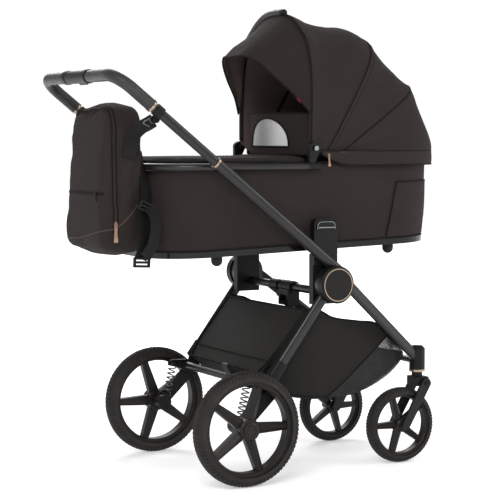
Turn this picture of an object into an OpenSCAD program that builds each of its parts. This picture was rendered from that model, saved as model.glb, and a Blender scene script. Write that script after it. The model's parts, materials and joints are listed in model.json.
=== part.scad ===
// Baby stroller: folding chassis, telescoping handle, lift-off carrycot with canopy, basket and hanging bag.
// X points forwards, Y to the left and Z up. The chassis is laid out from the rear axle at X = 0, then moved
// so that the origin is the middle of the footprint on the floor.

/* [Wheels] */
// Radius of a rear wheel over its tyre
rear_r = 150; // [120:1:165]
// Width of a rear tyre
rear_tyre_w = 50; // [36:1:60]
// Radius of a front wheel over its tyre
front_r = 104; // [80:1:115]
// Width of a front tyre
front_tyre_w = 42; // [30:1:50]
// Number of spokes in each wheel
spokes = 5; // [3:1:8]

/* [Chassis] */
// Distance of the hub ahead of the rear axle
hub_x = 278; // [230:1:330]
// Height of the hub above the floor
hub_z = 511; // [470:1:560]
// Distance of the caster's swivel ahead of the rear axle
swivel_x = 590; // [540:1:680]
// Distance from the middle to a caster's swivel
swivel_y = 185; // [160:1:200]
// Distance the front axle trails behind its swivel
trail = 57; // [40:1:70]
// Distance from the middle to an upper tube
tube_y = 247; // [242:1:300]
// Slope of the upper tubes above the floor, in degrees
tube_slope = 38.5; // [34:0.5:44]
// Width of the flat-oval frame tubes
tube_w = 30; // [24:1:34]
// Thickness of the upper tubes
tube_t = 24; // [20:1:26]
// Thickness of the legs
leg_t = 20; // [16:1:22]
// Wall of the upper tubes
tube_wall = 2; // [1.5:0.1:3]
// Radius of the hub
hub_r = 50; // [42:1:56]

/* [Handle] */
// Length of an upper tube from the hub to its telescoping ring
tube_len = 470; // [400:1:520]
// Distance from the hub to the handle's cross-bar along the tubes
bar_len = 828; // [760:1:900]
// Radius of the handle's bends
bend_r = 55; // [40:1:70]
// Radius of the bare handle bar
bar_r = 12.5; // [11:0.5:14]
// Radius of the covered grips
grip_r = 16; // [15:0.5:18]
// Travel of the telescoping handle
handle_travel = 80; // [40:1:120]

/* [Carrycot] */
// Length of the tub at its rim
tub_len = 862; // [760:1:900]
// Width of the tub at its rim
tub_w = 410; // [360:1:418]
// Height of the tub's rim above the floor
rim_z = 835; // [810:1:880]
// Depth of the tub at its foot end
tub_h = 250; // [200:1:262]
// Distance of the tub's foot end behind the rear axle
tub_back = 195; // [150:1:205]
// Radius of the tub's corners in plan
tub_corner = 150; // [110:1:170]
// Slope of the tub's underside, in degrees
tub_tilt = 1.9; // [0:0.1:3]
// Wall of the tub
tub_wall = 5; // [3:0.5:8]

/* [Canopy] */
// Radius of the front section of the canopy
canopy_r = 384; // [340:1:400]
// Step in radius from one canopy section to the next
canopy_step = 14; // [13:0.5:16]
// Angle that each folding section sweeps, in degrees
section_angle = 26; // [20:1:28]
// Thickness of the canopy fabric
canopy_t = 3; // [2:0.5:4]

/* [Bag] */
// Width of the bag
bag_w = 300; // [240:1:340]
// Height of the bag
bag_h = 385; // [300:1:400]
// Depth of the bag
bag_d = 98; // [70:1:110]

/* [Hidden] */
$fn = 64;

// Clearances
fit = 0.08;
gap = 0.3;
slide_gap = 0.3;

// Places in the chassis plane
hub_y = tube_y + 5;
housing_t = 24;
knuckle_r = hub_r - 4;
knuckle_y0 = hub_y - 25;
leg_y = hub_y - 12;
front_leg_y = hub_y + 10;
rear_wheel_y = leg_y + leg_t / 2 + 6 + rear_tyre_w / 2;
pin_r = 9;
tube_rise = 39;
tube_dir = [-cos(tube_slope), sin(tube_slope)];
tube_foot = [hub_x + tube_rise * sin(tube_slope), hub_z + tube_rise * cos(tube_slope)];
bar_x = tube_foot[0] + tube_dir[0] * bar_len;
bar_z = tube_foot[1] + tube_dir[1] * bar_len;

// Overall length, which sets the origin
tub_head = tub_len - tub_back;
skirt_lap = 9;
collar_r = grip_r + 2.5;
mid_x = (tub_head + skirt_lap + bar_x - collar_r) / 2;

// Telescoping tube
inner_w = tube_w - 2 * tube_wall - 2 * slide_gap;
inner_t = tube_t - 2 * tube_wall - 2 * slide_gap;
insert_depth = handle_travel + 60;
ring_t = 6;
grip_ring_at = bar_len - 120;

// Adapter posts
post_w = 72;
post_x = hub_x - 13;
post_top = 684 + (rim_z - 835);
post_step = hub_z + hub_r + 1;
post_in = tub_w / 2 + 1;
ledge_z = rim_z - 243;
socket_t = 6.5;
button_w = 58;
button_h = 24;
button_d = 5.3;
button_travel = 3;

// Front casters
housing_r = 22;
housing_z0 = front_r + 152;
housing_z1 = housing_z0 + 66;
stem_r = 9;
fork_half = front_tyre_w / 2 + 5.7;
arm_t = 8;
front_axle_x = swivel_x - trail;
fork_pivot = [swivel_x + 10, front_r + 115];
front_axle_r = 5;

// Rear suspension
leg_angle = 233.2;
leg_dir = [cos(leg_angle), sin(leg_angle)];
leg_len = (hub_z - 2 * rear_r + 26) / abs(sin(leg_angle));
leg_end = [hub_x + leg_dir[0] * leg_len, hub_z + leg_dir[1] * leg_len];
arm_pivot = [96, rear_r + 86];
arm_pin_r = 6;
arm_y0 = leg_y - 2;
arm_y1 = leg_y + 12;
plate_y0 = leg_y - 16;
axle_bar = [75, rear_r + 100];
axle_bar_r = 11;
spring_r = 10;
spring_wire = 1.9;
spring_low = [12, rear_r + 24.3];
spring_high = [30, rear_r + 99.7];
spring_y = leg_y - 15;
spring_turns = 6;

// Basket side outline and plan, from the rear panel's top round to its bottom
basket_top = [[205, 445], [262, 437], [300, 425], [370, 405], [478, 363], [545, 318]];
basket_under = [[556, 275], [439, 207], [380, 198], [289, 200], [166, 215], [72, 290]];
basket_rear_y = plate_y0 - gap;
basket_front_y = swivel_y - 20;
basket_wall = 3;

// Carrycot
tub_x0 = -tub_back;
tub_taper = 10;
tray_h = 16;
foot_r = 15;
foot_h = 26;
rim_tube_r = 10;
hinge_x = 239;
hinge_z = rim_z + 37;
flap_x = 217;
apron_z = rim_z + 1;
apron_t = 10;

// Canopy: each section's half-width and the flat part of its profile near the pivot
canopy_side = 200;
canopy_side_step = 4;
profile_flat = 100;
profile_power = 2.6;
bow_gap = 0.3;
open_angle = 90;

// Bag
bag_clip_at = grip_ring_at - 26;
bag_pin_r = 4;
bag_pin_drop = 20;
bag_top = bar_z - 72;
bag_x1 = bar_x + 118;

function tube_point(s) = [tube_foot[0] + tube_dir[0] * s, tube_foot[1] + tube_dir[1] * s];
function at_y(p, y) = [p[0], y, p[1]];

module place() {
    translate([-mid_x, 0, 0]) children();
}

// A left-hand shape, or its mirror image when side is -1.
module on_side(side) {
    if (side > 0) children();
    else mirror([0, 1, 0]) children();
}

module both_sides() {
    children();
    mirror([0, 1, 0]) children();
}

module oval(w, t) {
    square([w - t, t], center = true);
    for (x = [-1, 1]) translate([x * (w - t) / 2, 0]) circle(d = t);
}

module oval_ring(w, t, wall) {
    difference() {
        oval(w, t);
        oval(w - 2 * wall, t - 2 * wall);
    }
}

// Extrudes a section from p to q, with the section's X kept in the vertical plane of the line.
module beam(p, q) {
    d = q - p;
    translate(p)
        rotate([0, acos(d[2] / norm(d)), atan2(d[1], d[0])])
            linear_extrude(norm(d)) children();
}

// A round rod along Y through the point p of the chassis plane, from y0 to y1.
module y_rod(p, r, y0, y1) {
    translate([p[0], y1, p[1]]) rotate([90, 0, 0]) cylinder(h = y1 - y0, r = r);
}

// Extrudes an outline drawn in X and Z from y0 to y1.
module plate(y0, y1) {
    translate([0, y1, 0]) rotate([90, 0, 0]) linear_extrude(y1 - y0) children();
}

// A flat link between two round ends, drawn in X and Z.
module link(p, q, rp, rq) {
    d = (q - p) / norm(q - p);
    n = [-d[1], d[0]];
    translate(p) circle(rp);
    translate(q) circle(rq);
    polygon([p + n * rp, q + n * rq, q - n * rq, p - n * rp]);
}

module rounded_plan(x0, x1, half_w, r) {
    translate([x0 + r, -half_w]) square([x1 - x0 - 2 * r, 2 * half_w]);
    translate([x0, -half_w + r]) square([x1 - x0, 2 * (half_w - r)]);
    for (x = [x0 + r, x1 - r]) for (y = [-1, 1]) translate([x, y * (half_w - r)]) circle(r);
}

// Chassis ------------------------------------------------------------------

module upper_tubes() {
    color("dimgray") place() both_sides() difference() {
        beam(at_y(tube_point(0), tube_y), at_y(tube_point(tube_len), tube_y)) oval(tube_w, tube_t);
        beam(at_y(tube_point(60), tube_y), at_y(tube_point(tube_len + 1), tube_y))
            oval(tube_w - 2 * tube_wall, tube_t - 2 * tube_wall);
        y_rod([hub_x, hub_z], hub_r + 0.2, tube_y - tube_t, hub_y + housing_t + 5);
    }
}

module front_legs() {
    leg_top = [hub_x + 34, front_leg_y, hub_z + 2];
    leg_bottom = [swivel_x, swivel_y, housing_z0 + 29];
    color("dimgray") place() both_sides() difference() {
        beam(leg_top, leg_bottom) oval(tube_w, leg_t);
        y_rod([hub_x, hub_z], hub_r + 0.2, hub_y - 40, hub_y + housing_t + 5);
        translate([swivel_x, swivel_y, housing_z0 - 30]) cylinder(h = 150, r = housing_r + 0.2);
    }
}

module hub_housings() {
    color("black") place() both_sides() translate([hub_x, hub_y, hub_z]) rotate([-90, 0, 0])
        rotate_extrude() polygon([[0, 0], [hub_r, 0], [hub_r, housing_t - 3], [hub_r - 2.5, housing_t],
            [hub_r - 6, housing_t], [hub_r - 6, housing_t - 3], [0, housing_t - 3]]);
}

module hub_discs() {
    color([0.2, 0.18, 0.17]) place() both_sides() translate([hub_x, hub_y + housing_t - 3 + 0.1, hub_z])
        rotate([-90, 0, 0]) rotate_extrude()
            polygon([[0, 0], [hub_r - 9, 0], [hub_r - 9, 3.6], [hub_r - 10.5, 4.6], [0, 5]]);
}

module trim_rings() {
    color("goldenrod") place() both_sides() {
        translate([hub_x, hub_y + housing_t - 3 + 0.1, hub_z]) rotate([-90, 0, 0]) rotate_extrude()
            polygon([[hub_r - 8.8, 0], [hub_r - 6.2, 0], [hub_r - 6.2, 4.6], [hub_r - 8.8, 4.6]]);
        beam(at_y(tube_point(tube_len + 0.2), tube_y), at_y(tube_point(tube_len + ring_t), tube_y))
            difference() {
                oval(tube_w + 2, tube_t + 2);
                oval(inner_w + 2 * slide_gap, inner_t + 2 * slide_gap);
            }
        translate([swivel_x, swivel_y, housing_z0 - 6.2]) difference() {
            cylinder(h = 6, r = housing_r + 0.6);
            translate([0, 0, -1]) cylinder(h = 8, r = stem_r + 4);
        }
    }
}

module hub_pins() {
    color("silver") place() both_sides() y_rod([hub_x, hub_z], pin_r, knuckle_y0 - gap + 0.1, hub_y - 0.1);
}

module adapter_posts() {
    color([0.15, 0.15, 0.15]) place() both_sides() difference() {
        union() {
            translate([post_x - post_w / 2, post_in, hub_z - 54])
                cube([post_w, knuckle_y0 - gap - post_in, ledge_z - gap - hub_z + 54]);
            plate(post_in + socket_t, tube_y - tube_t / 2 - 2) difference() {
                union() {
                    translate([post_x - post_w / 2, post_step]) square([post_w, post_top - 14 - post_step]);
                    translate([post_x - post_w / 2 + 14, post_step]) square([post_w - 28, post_top - post_step]);
                    for (x = [-1, 1]) translate([post_x + x * (post_w / 2 - 14), post_top - 14]) circle(14);
                }
            }
        }
        button_pocket();
        y_rod([hub_x, hub_z], pin_r + 5, post_in + 12, knuckle_y0 + 1);
    }
}

module button_outline(grow) {
    w = button_w / 2 + grow;
    top = post_top - 5 + grow;
    r = 12 + grow;
    translate([post_x - w, post_top - 5 - button_h - grow]) square([2 * w, button_h + 2 * grow - r]);
    translate([post_x - w + r, top - r]) square([2 * (w - r), r]);
    for (x = [-1, 1]) translate([post_x + x * (w - r), top - r]) circle(r);
}

module button_pocket() {
    face = tube_y - tube_t / 2 - 2;
    plate(face - button_travel - button_d + 2, face + 1) button_outline(0.25);
}

module adapter_button(side) {
    face = tube_y - tube_t / 2 - 2;
    color("silver") place() on_side(side) plate(face - button_d + 2.2, face + 2.2) button_outline(0);
}

module hub_cross_bar() {
    color("dimgray") place() y_rod([hub_x + 2, hub_z - 25], 11, -post_in + 0.1, post_in - 0.1);
}

module fold_lock_body() {
    color("black") place() difference() {
        union() {
            y_rod([hub_x + 2, hub_z - 25], 17, -38, 26);
            plate(-34, 22) translate([hub_x - 16, hub_z - 76]) square([36, 44]);
            plate(-22, 10) translate([hub_x - 2, hub_z - 90]) square([10, 16]);
        }
        y_rod([hub_x + 2, hub_z - 25], 11.1, -40, 30);
        plate(-24, 12) translate([hub_x - 18, hub_z - 66]) square([14, 18]);
    }
}

module fold_lock_slider() {
    color([0.25, 0.25, 0.25]) place() difference() {
        union() {
            y_rod([hub_x + 2, hub_z - 25], 16, 40, 84);
            plate(48, 72) translate([hub_x + 6, hub_z - 58]) square([10, 30]);
        }
        y_rod([hub_x + 2, hub_z - 25], 11 + fit, 30, 90);
    }
}

module swivel_housings() {
    color("black") place() both_sides() translate([swivel_x, swivel_y, housing_z0]) difference() {
        rotate_extrude() polygon([[0, 0], [housing_r, 0], [housing_r, housing_z1 - housing_z0 - 8],
            [housing_r - 8, housing_z1 - housing_z0], [0, housing_z1 - housing_z0]]);
        translate([0, 0, -1]) cylinder(h = 37, r = stem_r + fit);
    }
}

module front_cross_bar() {
    reach = swivel_y - housing_r - 0.2;
    color("dimgray") place() y_rod([swivel_x - 5, housing_z0 + 24], 9, -reach, reach);
}

// Side profile of the basket, or of its hollow when inset is more than 0.
module basket_profile(inset) {
    if (inset == 0) polygon(concat(basket_top, basket_under));
    else polygon([[basket_top[0][0] + 2, 700], [basket_top[5][0] - inset, 700], [basket_top[5][0] - inset, 320],
        [556 - inset, 277], [438, 207 + inset], [380, 198 + inset], [290, 200 + inset],
        [168, 215 + inset], [72 + 1.6 * inset, 290 + 0.4 * inset], [205 + 1.3 * inset, 446]]);
}

module basket_plan(inset) {
    polygon([[0, -basket_rear_y + inset], [260, -basket_rear_y + inset], [600, -basket_front_y + inset],
        [600, basket_front_y - inset], [260, basket_rear_y - inset], [0, basket_rear_y - inset]]);
}

module basket_shell() {
    difference() {
        intersection() {
            plate(-300, 300) basket_profile(0);
            translate([0, 0, 100]) linear_extrude(500) basket_plan(0);
        }
        intersection() {
            plate(-301, 301) basket_profile(basket_wall);
            translate([0, 0, 90]) linear_extrude(700) basket_plan(basket_wall);
        }
    }
}

// Everything ahead of the seam where the dark side panels end.
module mesh_side(shift) {
    plate(-302, 302) polygon([[480 + shift, 365], [480 + shift, 600], [700, 600], [700, 100],
        [230 + shift, 100], [230 + shift, 160]]);
}

module basket_panels() {
    color([0.17, 0.16, 0.15]) place() difference() {
        basket_shell();
        mesh_side(0);
    }
}

module basket_mesh() {
    color([0.3, 0.3, 0.3]) place() intersection() {
        basket_shell();
        mesh_side(0.3);
    }
}

// Rear frame ---------------------------------------------------------------

module rear_legs() {
    color("dimgray") place() both_sides() difference() {
        union() {
            beam([hub_x, leg_y, hub_z], at_y(leg_end, leg_y)) oval(tube_w, leg_t);
            y_rod([hub_x, hub_z], knuckle_r, knuckle_y0, hub_y - gap);
        }
        y_rod([hub_x, hub_z], pin_r + fit, knuckle_y0 - 5, hub_y + 5);
    }
}

module rear_brackets() {
    sleeve_top = leg_end - leg_dir * 44;
    color("black") place() both_sides() difference() {
        union() {
            beam(at_y(sleeve_top, leg_y), at_y(leg_end + leg_dir * 3, leg_y)) oval(tube_w + 6, leg_t + 6);
            plate(plate_y0, arm_y0 - gap) difference() {
                union() {
                    link(arm_pivot, axle_bar, 17, 17);
                    link(axle_bar + [-6, 3], [spring_high[0], spring_high[1] + 9], 14, 9);
                    link(arm_pivot, leg_end - leg_dir * 10, 17, 17);
                }
            }
            along_spring(spring_high) cylinder(h = 12, r = 14);
            y_rod(arm_pivot, arm_pin_r, arm_y0 - 1, arm_y1 + 2);
        }
        beam([hub_x, leg_y, hub_z], at_y(leg_end + leg_dir * 0.2, leg_y)) oval(tube_w + 0.2, leg_t + 0.2);
        along_spring(spring_low) cylinder(h = norm(spring_high - spring_low), r = spring_r + spring_wire + 1.5);
    }
}

module rear_axle_bar() {
    color("dimgray") place() y_rod(axle_bar, axle_bar_r, -plate_y0 + 0.1, plate_y0 - 0.1);
}

module brake_pedal() {
    color([0.25, 0.25, 0.25]) place() difference() {
        union() {
            y_rod(axle_bar, 16, -98, -58);
            plate(-94, -62) link(axle_bar, axle_bar + [-30, 38], 12, 6);
        }
        y_rod(axle_bar, axle_bar_r + fit, -100, -50);
    }
}

module swing_arm(side) {
    axle = [0, rear_r];
    color("black") place() on_side(side) difference() {
        union() {
            plate(arm_y0, arm_y1) link(arm_pivot, axle, 16, 20);
            y_rod(axle, 20, spring_y - 14, arm_y1 + 2);
            along_spring(spring_low) translate([0, 0, -12 - gap]) cylinder(h = 12, r = 13);
            y_rod(axle, 6, arm_y1, rear_wheel_y + 16);
        }
        y_rod(arm_pivot, arm_pin_r + fit, arm_y0 - 2, arm_y1 + 3);
    }
}

// Moves a shape drawn along Z onto the spring's line at the point p.
module along_spring(p) {
    translate([p[0], spring_y, p[1]])
        rotate([0, atan2(spring_high[0] - spring_low[0], spring_high[1] - spring_low[1]), 0]) children();
}

// A coil swept along the line from its lower to its upper seat.
module coil(low, high, coil_r, wire_r, turns) {
    steps = 14;
    sides = 8;
    rise = norm(high - low) - 2 * wire_r;
    count = turns * steps;
    pts = [for (i = [0 : count]) for (j = [0 : sides - 1])
        let (a = 360 * i / steps, b = 360 * j / sides, r = coil_r + wire_r * cos(b))
            [r * cos(a), r * sin(a), wire_r + rise * i / count + wire_r * sin(b)]];
    walls = [for (i = [0 : count - 1]) for (j = [0 : sides - 1])
        [i * sides + j, (i + 1) * sides + j, (i + 1) * sides + (j + 1) % sides, i * sides + (j + 1) % sides]];
    caps = [[for (j = [0 : sides - 1]) j], [for (j = [sides - 1 : -1 : 0]) count * sides + j]];
    along_spring(low) polyhedron(points = pts, faces = concat(walls, caps));
}

module rear_spring(side) {
    color("silver") place() on_side(side)
        coil(spring_low, spring_high - [0, 0.3], spring_r, spring_wire, spring_turns);
}

// Wheels -------------------------------------------------------------------

// A spoke along X from x0 to x1: ridged in section, with half-width a at its root, tapering outwards.
module spoke(x0, x1, a, w) {
    intersection() {
        rotate([0, 90, 0]) linear_extrude(x1)
            polygon([[-a, -w * 0.7], [-a, w * 0.2], [0, w * 0.9], [a, w * 0.2], [a, -w * 0.7]]);
        plate(-w, w + 1) polygon([[x0, -a], [x1, -a * 0.62], [x1, a * 0.62], [x0, a]]);
    }
}

// A spoked rim about the Y axis at the origin, with its cap towards +Y.
module rim(wheel_r, tyre_w, hub_r, bore_r, phase) {
    seat_r = wheel_r * 0.83;
    inner_r = wheel_r * 0.755;
    w = tyre_w * 0.36;
    difference() {
        union() {
            rotate([-90, 0, 0]) rotate_extrude() polygon([[inner_r, -w + 4], [inner_r + 3, -w], [seat_r, -w],
                [seat_r, w], [inner_r + 3, w], [inner_r, w - 4]]);
            rotate([-90, 0, 0]) rotate_extrude() polygon([[0, -tyre_w / 2 + 2], [hub_r, -tyre_w / 2 + 2],
                [hub_r, tyre_w / 2 - 5], [hub_r - 4, tyre_w / 2 - 1], [hub_r * 0.7, tyre_w / 2 - 1],
                [hub_r * 0.7, tyre_w / 2 + 2], [hub_r * 0.55, tyre_w / 2 + 4], [0, tyre_w / 2 + 4]]);
            for (i = [0 : spokes - 1]) rotate([0, phase - 360 * i / spokes, 0])
                spoke(hub_r * 0.7, inner_r + 1.5, wheel_r * 0.1, w);
        }
        y_rod([0, 0], bore_r, -tyre_w, tyre_w / 2 - 3);
    }
}

module tyre(wheel_r, tyre_w) {
    seat_r = wheel_r * 0.83 + 0.05;
    rotate([-90, 0, 0]) rotate_extrude() intersection() {
        translate([wheel_r - tyre_w / 2, 0]) circle(d = tyre_w);
        translate([seat_r, -tyre_w]) square([wheel_r, 2 * tyre_w]);
    }
}

module rear_rim(side, phase) {
    color([0.2, 0.2, 0.2]) place() on_side(side) translate([0, rear_wheel_y, rear_r])
        rim(rear_r, rear_tyre_w, 29, 6 + fit, phase);
}

module rear_tyre(side) {
    color([0.12, 0.12, 0.12]) place() on_side(side) translate([0, rear_wheel_y, rear_r])
        tyre(rear_r, rear_tyre_w);
}

module front_rim(side, phase) {
    color([0.2, 0.2, 0.2]) place() on_side(side) translate([front_axle_x, swivel_y, front_r]) difference() {
        rim(front_r, front_tyre_w, 19, front_axle_r + fit, phase);
        y_rod([0, 0], front_axle_r + fit, -front_tyre_w, front_tyre_w);
        y_rod([0, 0], 30, front_tyre_w / 2 + 2.5, front_tyre_w);
    }
}

module front_tyre(side) {
    color([0.12, 0.12, 0.12]) place() on_side(side) translate([front_axle_x, swivel_y, front_r])
        tyre(front_r, front_tyre_w);
}

module caster_fork(side) {
    crown_z0 = fork_pivot[1] - 8;
    crown_z1 = fork_pivot[1] + 17;
    color("black") place() on_side(side) difference() {
        union() {
            translate([swivel_x - 16, swivel_y - fork_half + gap, crown_z0])
                cube([38, 2 * (fork_half - gap), crown_z1 - crown_z0]);
            translate([swivel_x, swivel_y, crown_z1 - 1]) cylinder(h = housing_z0 - 6.5 - crown_z1 + 1, r = 15);
            translate([swivel_x, swivel_y, crown_z1]) cylinder(h = housing_z0 + 34 - crown_z1, r = stem_r);
            y_rod(fork_pivot, 6, swivel_y - fork_half - arm_t - 1, swivel_y + fork_half + arm_t + 1);
        }
    }
}

module fork_arms(side) {
    axle = [front_axle_x, front_r];
    color([0.3, 0.3, 0.3]) place() on_side(side) difference() {
        union() {
            for (y = [swivel_y - fork_half - arm_t, swivel_y + fork_half])
                plate(y, y + arm_t) link(fork_pivot, axle, 14, 12);
            y_rod(axle, front_axle_r, swivel_y - fork_half - 1, swivel_y + fork_half + 1);
        }
        y_rod(fork_pivot, 6 + fit, swivel_y - 60, swivel_y + 60);
    }
}

// Handle -------------------------------------------------------------------

// Moves a shape drawn in the handle's own plane, where X runs up the tubes and Y across the stroller.
module handle_plane() {
    translate([tube_foot[0], 0, tube_foot[1]]) rotate([0, -180 + tube_slope, 0]) children();
}

// The round bar from a distance up the tube, round one bend, to a distance from the middle.
module bar_run(from, y_end, r_out, r_in) {
    handle_plane() {
        translate([from, tube_y, 0]) rotate([0, 90, 0])
            linear_extrude(bar_len - bend_r - from) difference() {
                circle(r_out);
                circle(r_in);
            }
        translate([bar_len - bend_r, tube_y - bend_r, 0]) rotate_extrude(angle = 90)
            translate([bend_r, 0]) difference() {
                circle(r_out);
                circle(r_in);
            }
        translate([bar_len, y_end, 0]) rotate([-90, 0, 0])
            linear_extrude(tube_y - bend_r - y_end) difference() {
                circle(r_out);
                circle(r_in);
            }
    }
}

module handle_bar() {
    color("dimgray") place() both_sides() {
        bar_run(grip_ring_at - 12, 0, bar_r, bar_r - 2);
        handle_plane() translate([tube_len - insert_depth, tube_y, 0]) rotate([0, 90, 0])
            linear_extrude(grip_ring_at - 12 - tube_len + insert_depth) oval_ring(inner_w, inner_t, 1.8);
        handle_plane() translate([grip_ring_at - 16, tube_y, 0]) rotate([0, 90, 0])
            linear_extrude(6) oval(inner_w, inner_t);
    }
}

module handle_grips() {
    color([0.22, 0.21, 0.2]) place() both_sides() bar_run(grip_ring_at, 76.4, grip_r, bar_r + 0.1);
}

module grip_rings() {
    color("goldenrod") place() both_sides() handle_plane()
        translate([grip_ring_at - 6.2, tube_y, 0]) rotate([0, 90, 0]) linear_extrude(6) difference() {
            circle(grip_r + 1);
            circle(bar_r + 0.1);
        }
}

module handle_centre() {
    color("black") place() difference() {
        union() {
            both_sides() handle_plane() translate([bar_len, 58, 0]) rotate([-90, 0, 0])
                linear_extrude(18) circle(collar_r);
            handle_plane() translate([bar_len, -59, 0]) rotate([-90, 0, 0]) linear_extrude(118) circle(grip_r + 1);
        }
        handle_plane() translate([bar_len, -100, 0]) rotate([-90, 0, 0]) linear_extrude(200) circle(bar_r + 0.1);
        handle_plane() translate([bar_len - 40, -25.3, -5.3]) cube([40 - bar_r - 0.2, 50.6, 10.6]);
    }
}

module handle_lever() {
    color([0.15, 0.15, 0.15]) place() handle_plane() translate([bar_len - 26, -25, -5]) cube([26 - 16.4, 50, 10]);
}

// Bag ----------------------------------------------------------------------

bag_pin = tube_point(bag_clip_at) + [0, -bag_pin_drop];
bag_eye_y = tube_y - 27;

module bag_clips() {
    color("black") place() both_sides() {
        handle_plane() translate([bag_clip_at - 11, tube_y, 0]) rotate([0, 90, 0]) linear_extrude(22)
            difference() {
                oval(inner_w + 7, inner_t + 7);
                oval(inner_w + 0.4, inner_t + 0.4);
            }
        plate(tube_y - 13.5, tube_y - 10.2) link(bag_pin, tube_point(bag_clip_at) + [0, -14], 9, 9);
        y_rod(bag_pin, bag_pin_r, bag_eye_y - 5, tube_y - 12);
    }
}

module bag_body() {
    side_r = 34;
    top_r = 60;
    color([0.2, 0.18, 0.17]) place() translate([bag_x1 - bag_d, 0, bag_top - bag_h])
        rotate([90, 0, 90]) linear_extrude(bag_d) {
            translate([-bag_w / 2, side_r]) square([bag_w, bag_h - side_r - top_r]);
            translate([-bag_w / 2 + side_r, 0]) square([bag_w - 2 * side_r, bag_h - top_r]);
            translate([-bag_w / 2 + top_r, side_r]) square([bag_w - 2 * top_r, bag_h - side_r]);
            for (y = [-1, 1]) {
                translate([y * (bag_w / 2 - side_r), side_r]) circle(side_r);
                translate([y * (bag_w / 2 - top_r), bag_h - top_r]) circle(top_r);
            }
        }
}

module bag_straps() {
    strap_end = [bag_pin[0] - 34, bag_w / 2 + 3, bag_pin[1] - 26];
    color([0.08, 0.08, 0.08]) place() {
        both_sides() {
            difference() {
                union() {
                    y_rod(bag_pin, 9, bag_eye_y - 3, bag_eye_y + 3);
                    beam(at_y(bag_pin - [7, 6], bag_eye_y), strap_end) square([26, 3], center = true);
                }
                y_rod(bag_pin, bag_pin_r + fit, bag_eye_y - 10, bag_eye_y + 10);
            }
            translate([bag_x1 - 64, bag_w / 2 + 0.2, bag_top - 150]) cube([38, 3, 110]);
        }
        translate([bag_x1 - 58, -bag_w / 2 - 7, bag_top - 400]) cube([38, 3.4, 330]);
        translate([bag_x1 - 64, -bag_w / 2 - 11, bag_top - 424]) cube([50, 9, 26]);
    }
}

// Carrycot -----------------------------------------------------------------

// Tapered solid between the tub's rim and its underside, moved in from the outer face by inset.
module tub_solid(inset, z0, z1) {
    x0 = tub_x0 + inset;
    x1 = tub_head - inset;
    half = tub_w / 2 - inset;
    r = tub_corner - inset;
    steps = [[z1, 0], [z0, tub_taper]];
    hull() for (s = steps) for (x = [x0 + r, x1 - r]) for (y = [-1, 1])
        translate([x, y * (half - r), s[0] - (s[0] == z1 ? 1 : 0)]) cylinder(h = 1, r = r - s[1], $fn = 48);
}

// Half space under a plane that slopes with the tub's underside, at a height above it.
module below_underside(height) {
    translate([tub_x0, -400, rim_z - tub_h + height]) rotate([0, -tub_tilt, 0])
        translate([-200, 0, -300]) cube([1400, 800, 300]);
}

module tub_shell() {
    color([0.2, 0.18, 0.17]) place() {
        difference() {
            tub_solid(0, rim_z - tub_h - 2, rim_z);
            below_underside(tray_h + 0.1);
            difference() {
                tub_solid(tub_wall, rim_z - tub_h - 2, rim_z + 1);
                below_underside(tray_h + 6);
            }
        }
        both_sides() translate([post_x - 30, tub_w / 2 - 12, ledge_z])
            cube([60, 12 + socket_t + 1 - gap, post_top - ledge_z - 4]);
    }
}

module tub_base() {
    color([0.05, 0.05, 0.05]) place() difference() {
        intersection() {
            tub_solid(-1.5, rim_z - tub_h - 2, rim_z);
            below_underside(tray_h);
        }
        below_underside(0);
        below_cut = tray_h - 5;
        difference() {
            tub_solid(8, rim_z - tub_h - 3, rim_z);
            below_underside(below_cut);
        }
        both_sides() translate([post_x - 31, tub_w / 2 - 12.3, ledge_z - 1]) cube([62, 30, 60]);
    }
}

function underside(x) = rim_z - tub_h + (x - tub_x0) * tan(tub_tilt);

module tub_feet() {
    color("black") place() both_sides() for (x = [tub_x0 + 166, tub_head - 167])
        translate([x, tub_w / 2 - 35, underside(x) - foot_h]) difference() {
            union() {
                translate([0, 0, foot_r]) cylinder(h = foot_h - foot_r + 2, r = foot_r);
                translate([0, 0, foot_r]) sphere(foot_r);
            }
            translate([-x, -(tub_w / 2 - 35), -(underside(x) - foot_h)]) difference() {
                translate([x - 50, 0, 0]) cube([100, 400, 1000]);
                below_underside(-0.1);
            }
        }
}

module rim_path(r) {
    off = rim_tube_r + 0.6;
    y = tub_w / 2 + off;
    corner = tub_corner + off;
    x_corner = tub_x0 + tub_corner;
    translate([x_corner, y, 0]) rotate([0, 90, 0]) linear_extrude(hinge_x - 20 - x_corner) circle(r);
    translate([x_corner, tub_w / 2 - tub_corner, 0]) rotate([0, 0, 90]) rotate_extrude(angle = 90)
        translate([corner, 0]) circle(r);
    translate([tub_x0 - off, 0, 0]) rotate([-90, 0, 0]) linear_extrude(tub_w / 2 - tub_corner) circle(r);
}

module rim_tube() {
    color("dimgray") place() both_sides() translate([0, 0, rim_z - 11]) rim_path(rim_tube_r);
}

module mattress() {
    color([0.3, 0.28, 0.27]) place() difference() {
        tub_solid(tub_wall + 16, rim_z - tub_h - 2, rim_z);
        below_underside(tray_h + 6.3);
        translate([-500, -400, rim_z - tub_h + 66]) cube([2000, 800, 400]);
    }
}

module apron() {
    color([0.2, 0.18, 0.17]) place() {
        translate([0, 0, apron_z - 0.7]) linear_extrude(apron_t) intersection() {
            rounded_plan(tub_x0 + 1, tub_head - 1, tub_w / 2 - 1, tub_corner - 1);
            translate([-1000, -500]) square([1000 + flap_x + 8, 1000]);
        }
        translate([flap_x - 6, -tub_w / 2 + 14, apron_z + apron_t - 1]) cube([13, tub_w - 28, 5.5]);
    }
}

// Canopy -------------------------------------------------------------------

function profile_half(r, big_r, half) = r <= profile_flat ? half
    : half * pow(max(0, 1 - pow((r - profile_flat) / (big_r - profile_flat), profile_power)), 1 / profile_power);

function profile_radii(big_r) = concat([14, profile_flat],
    [for (i = [1 : 11]) profile_flat + (big_r - profile_flat) * sin(90 * i / 12)]);

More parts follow.
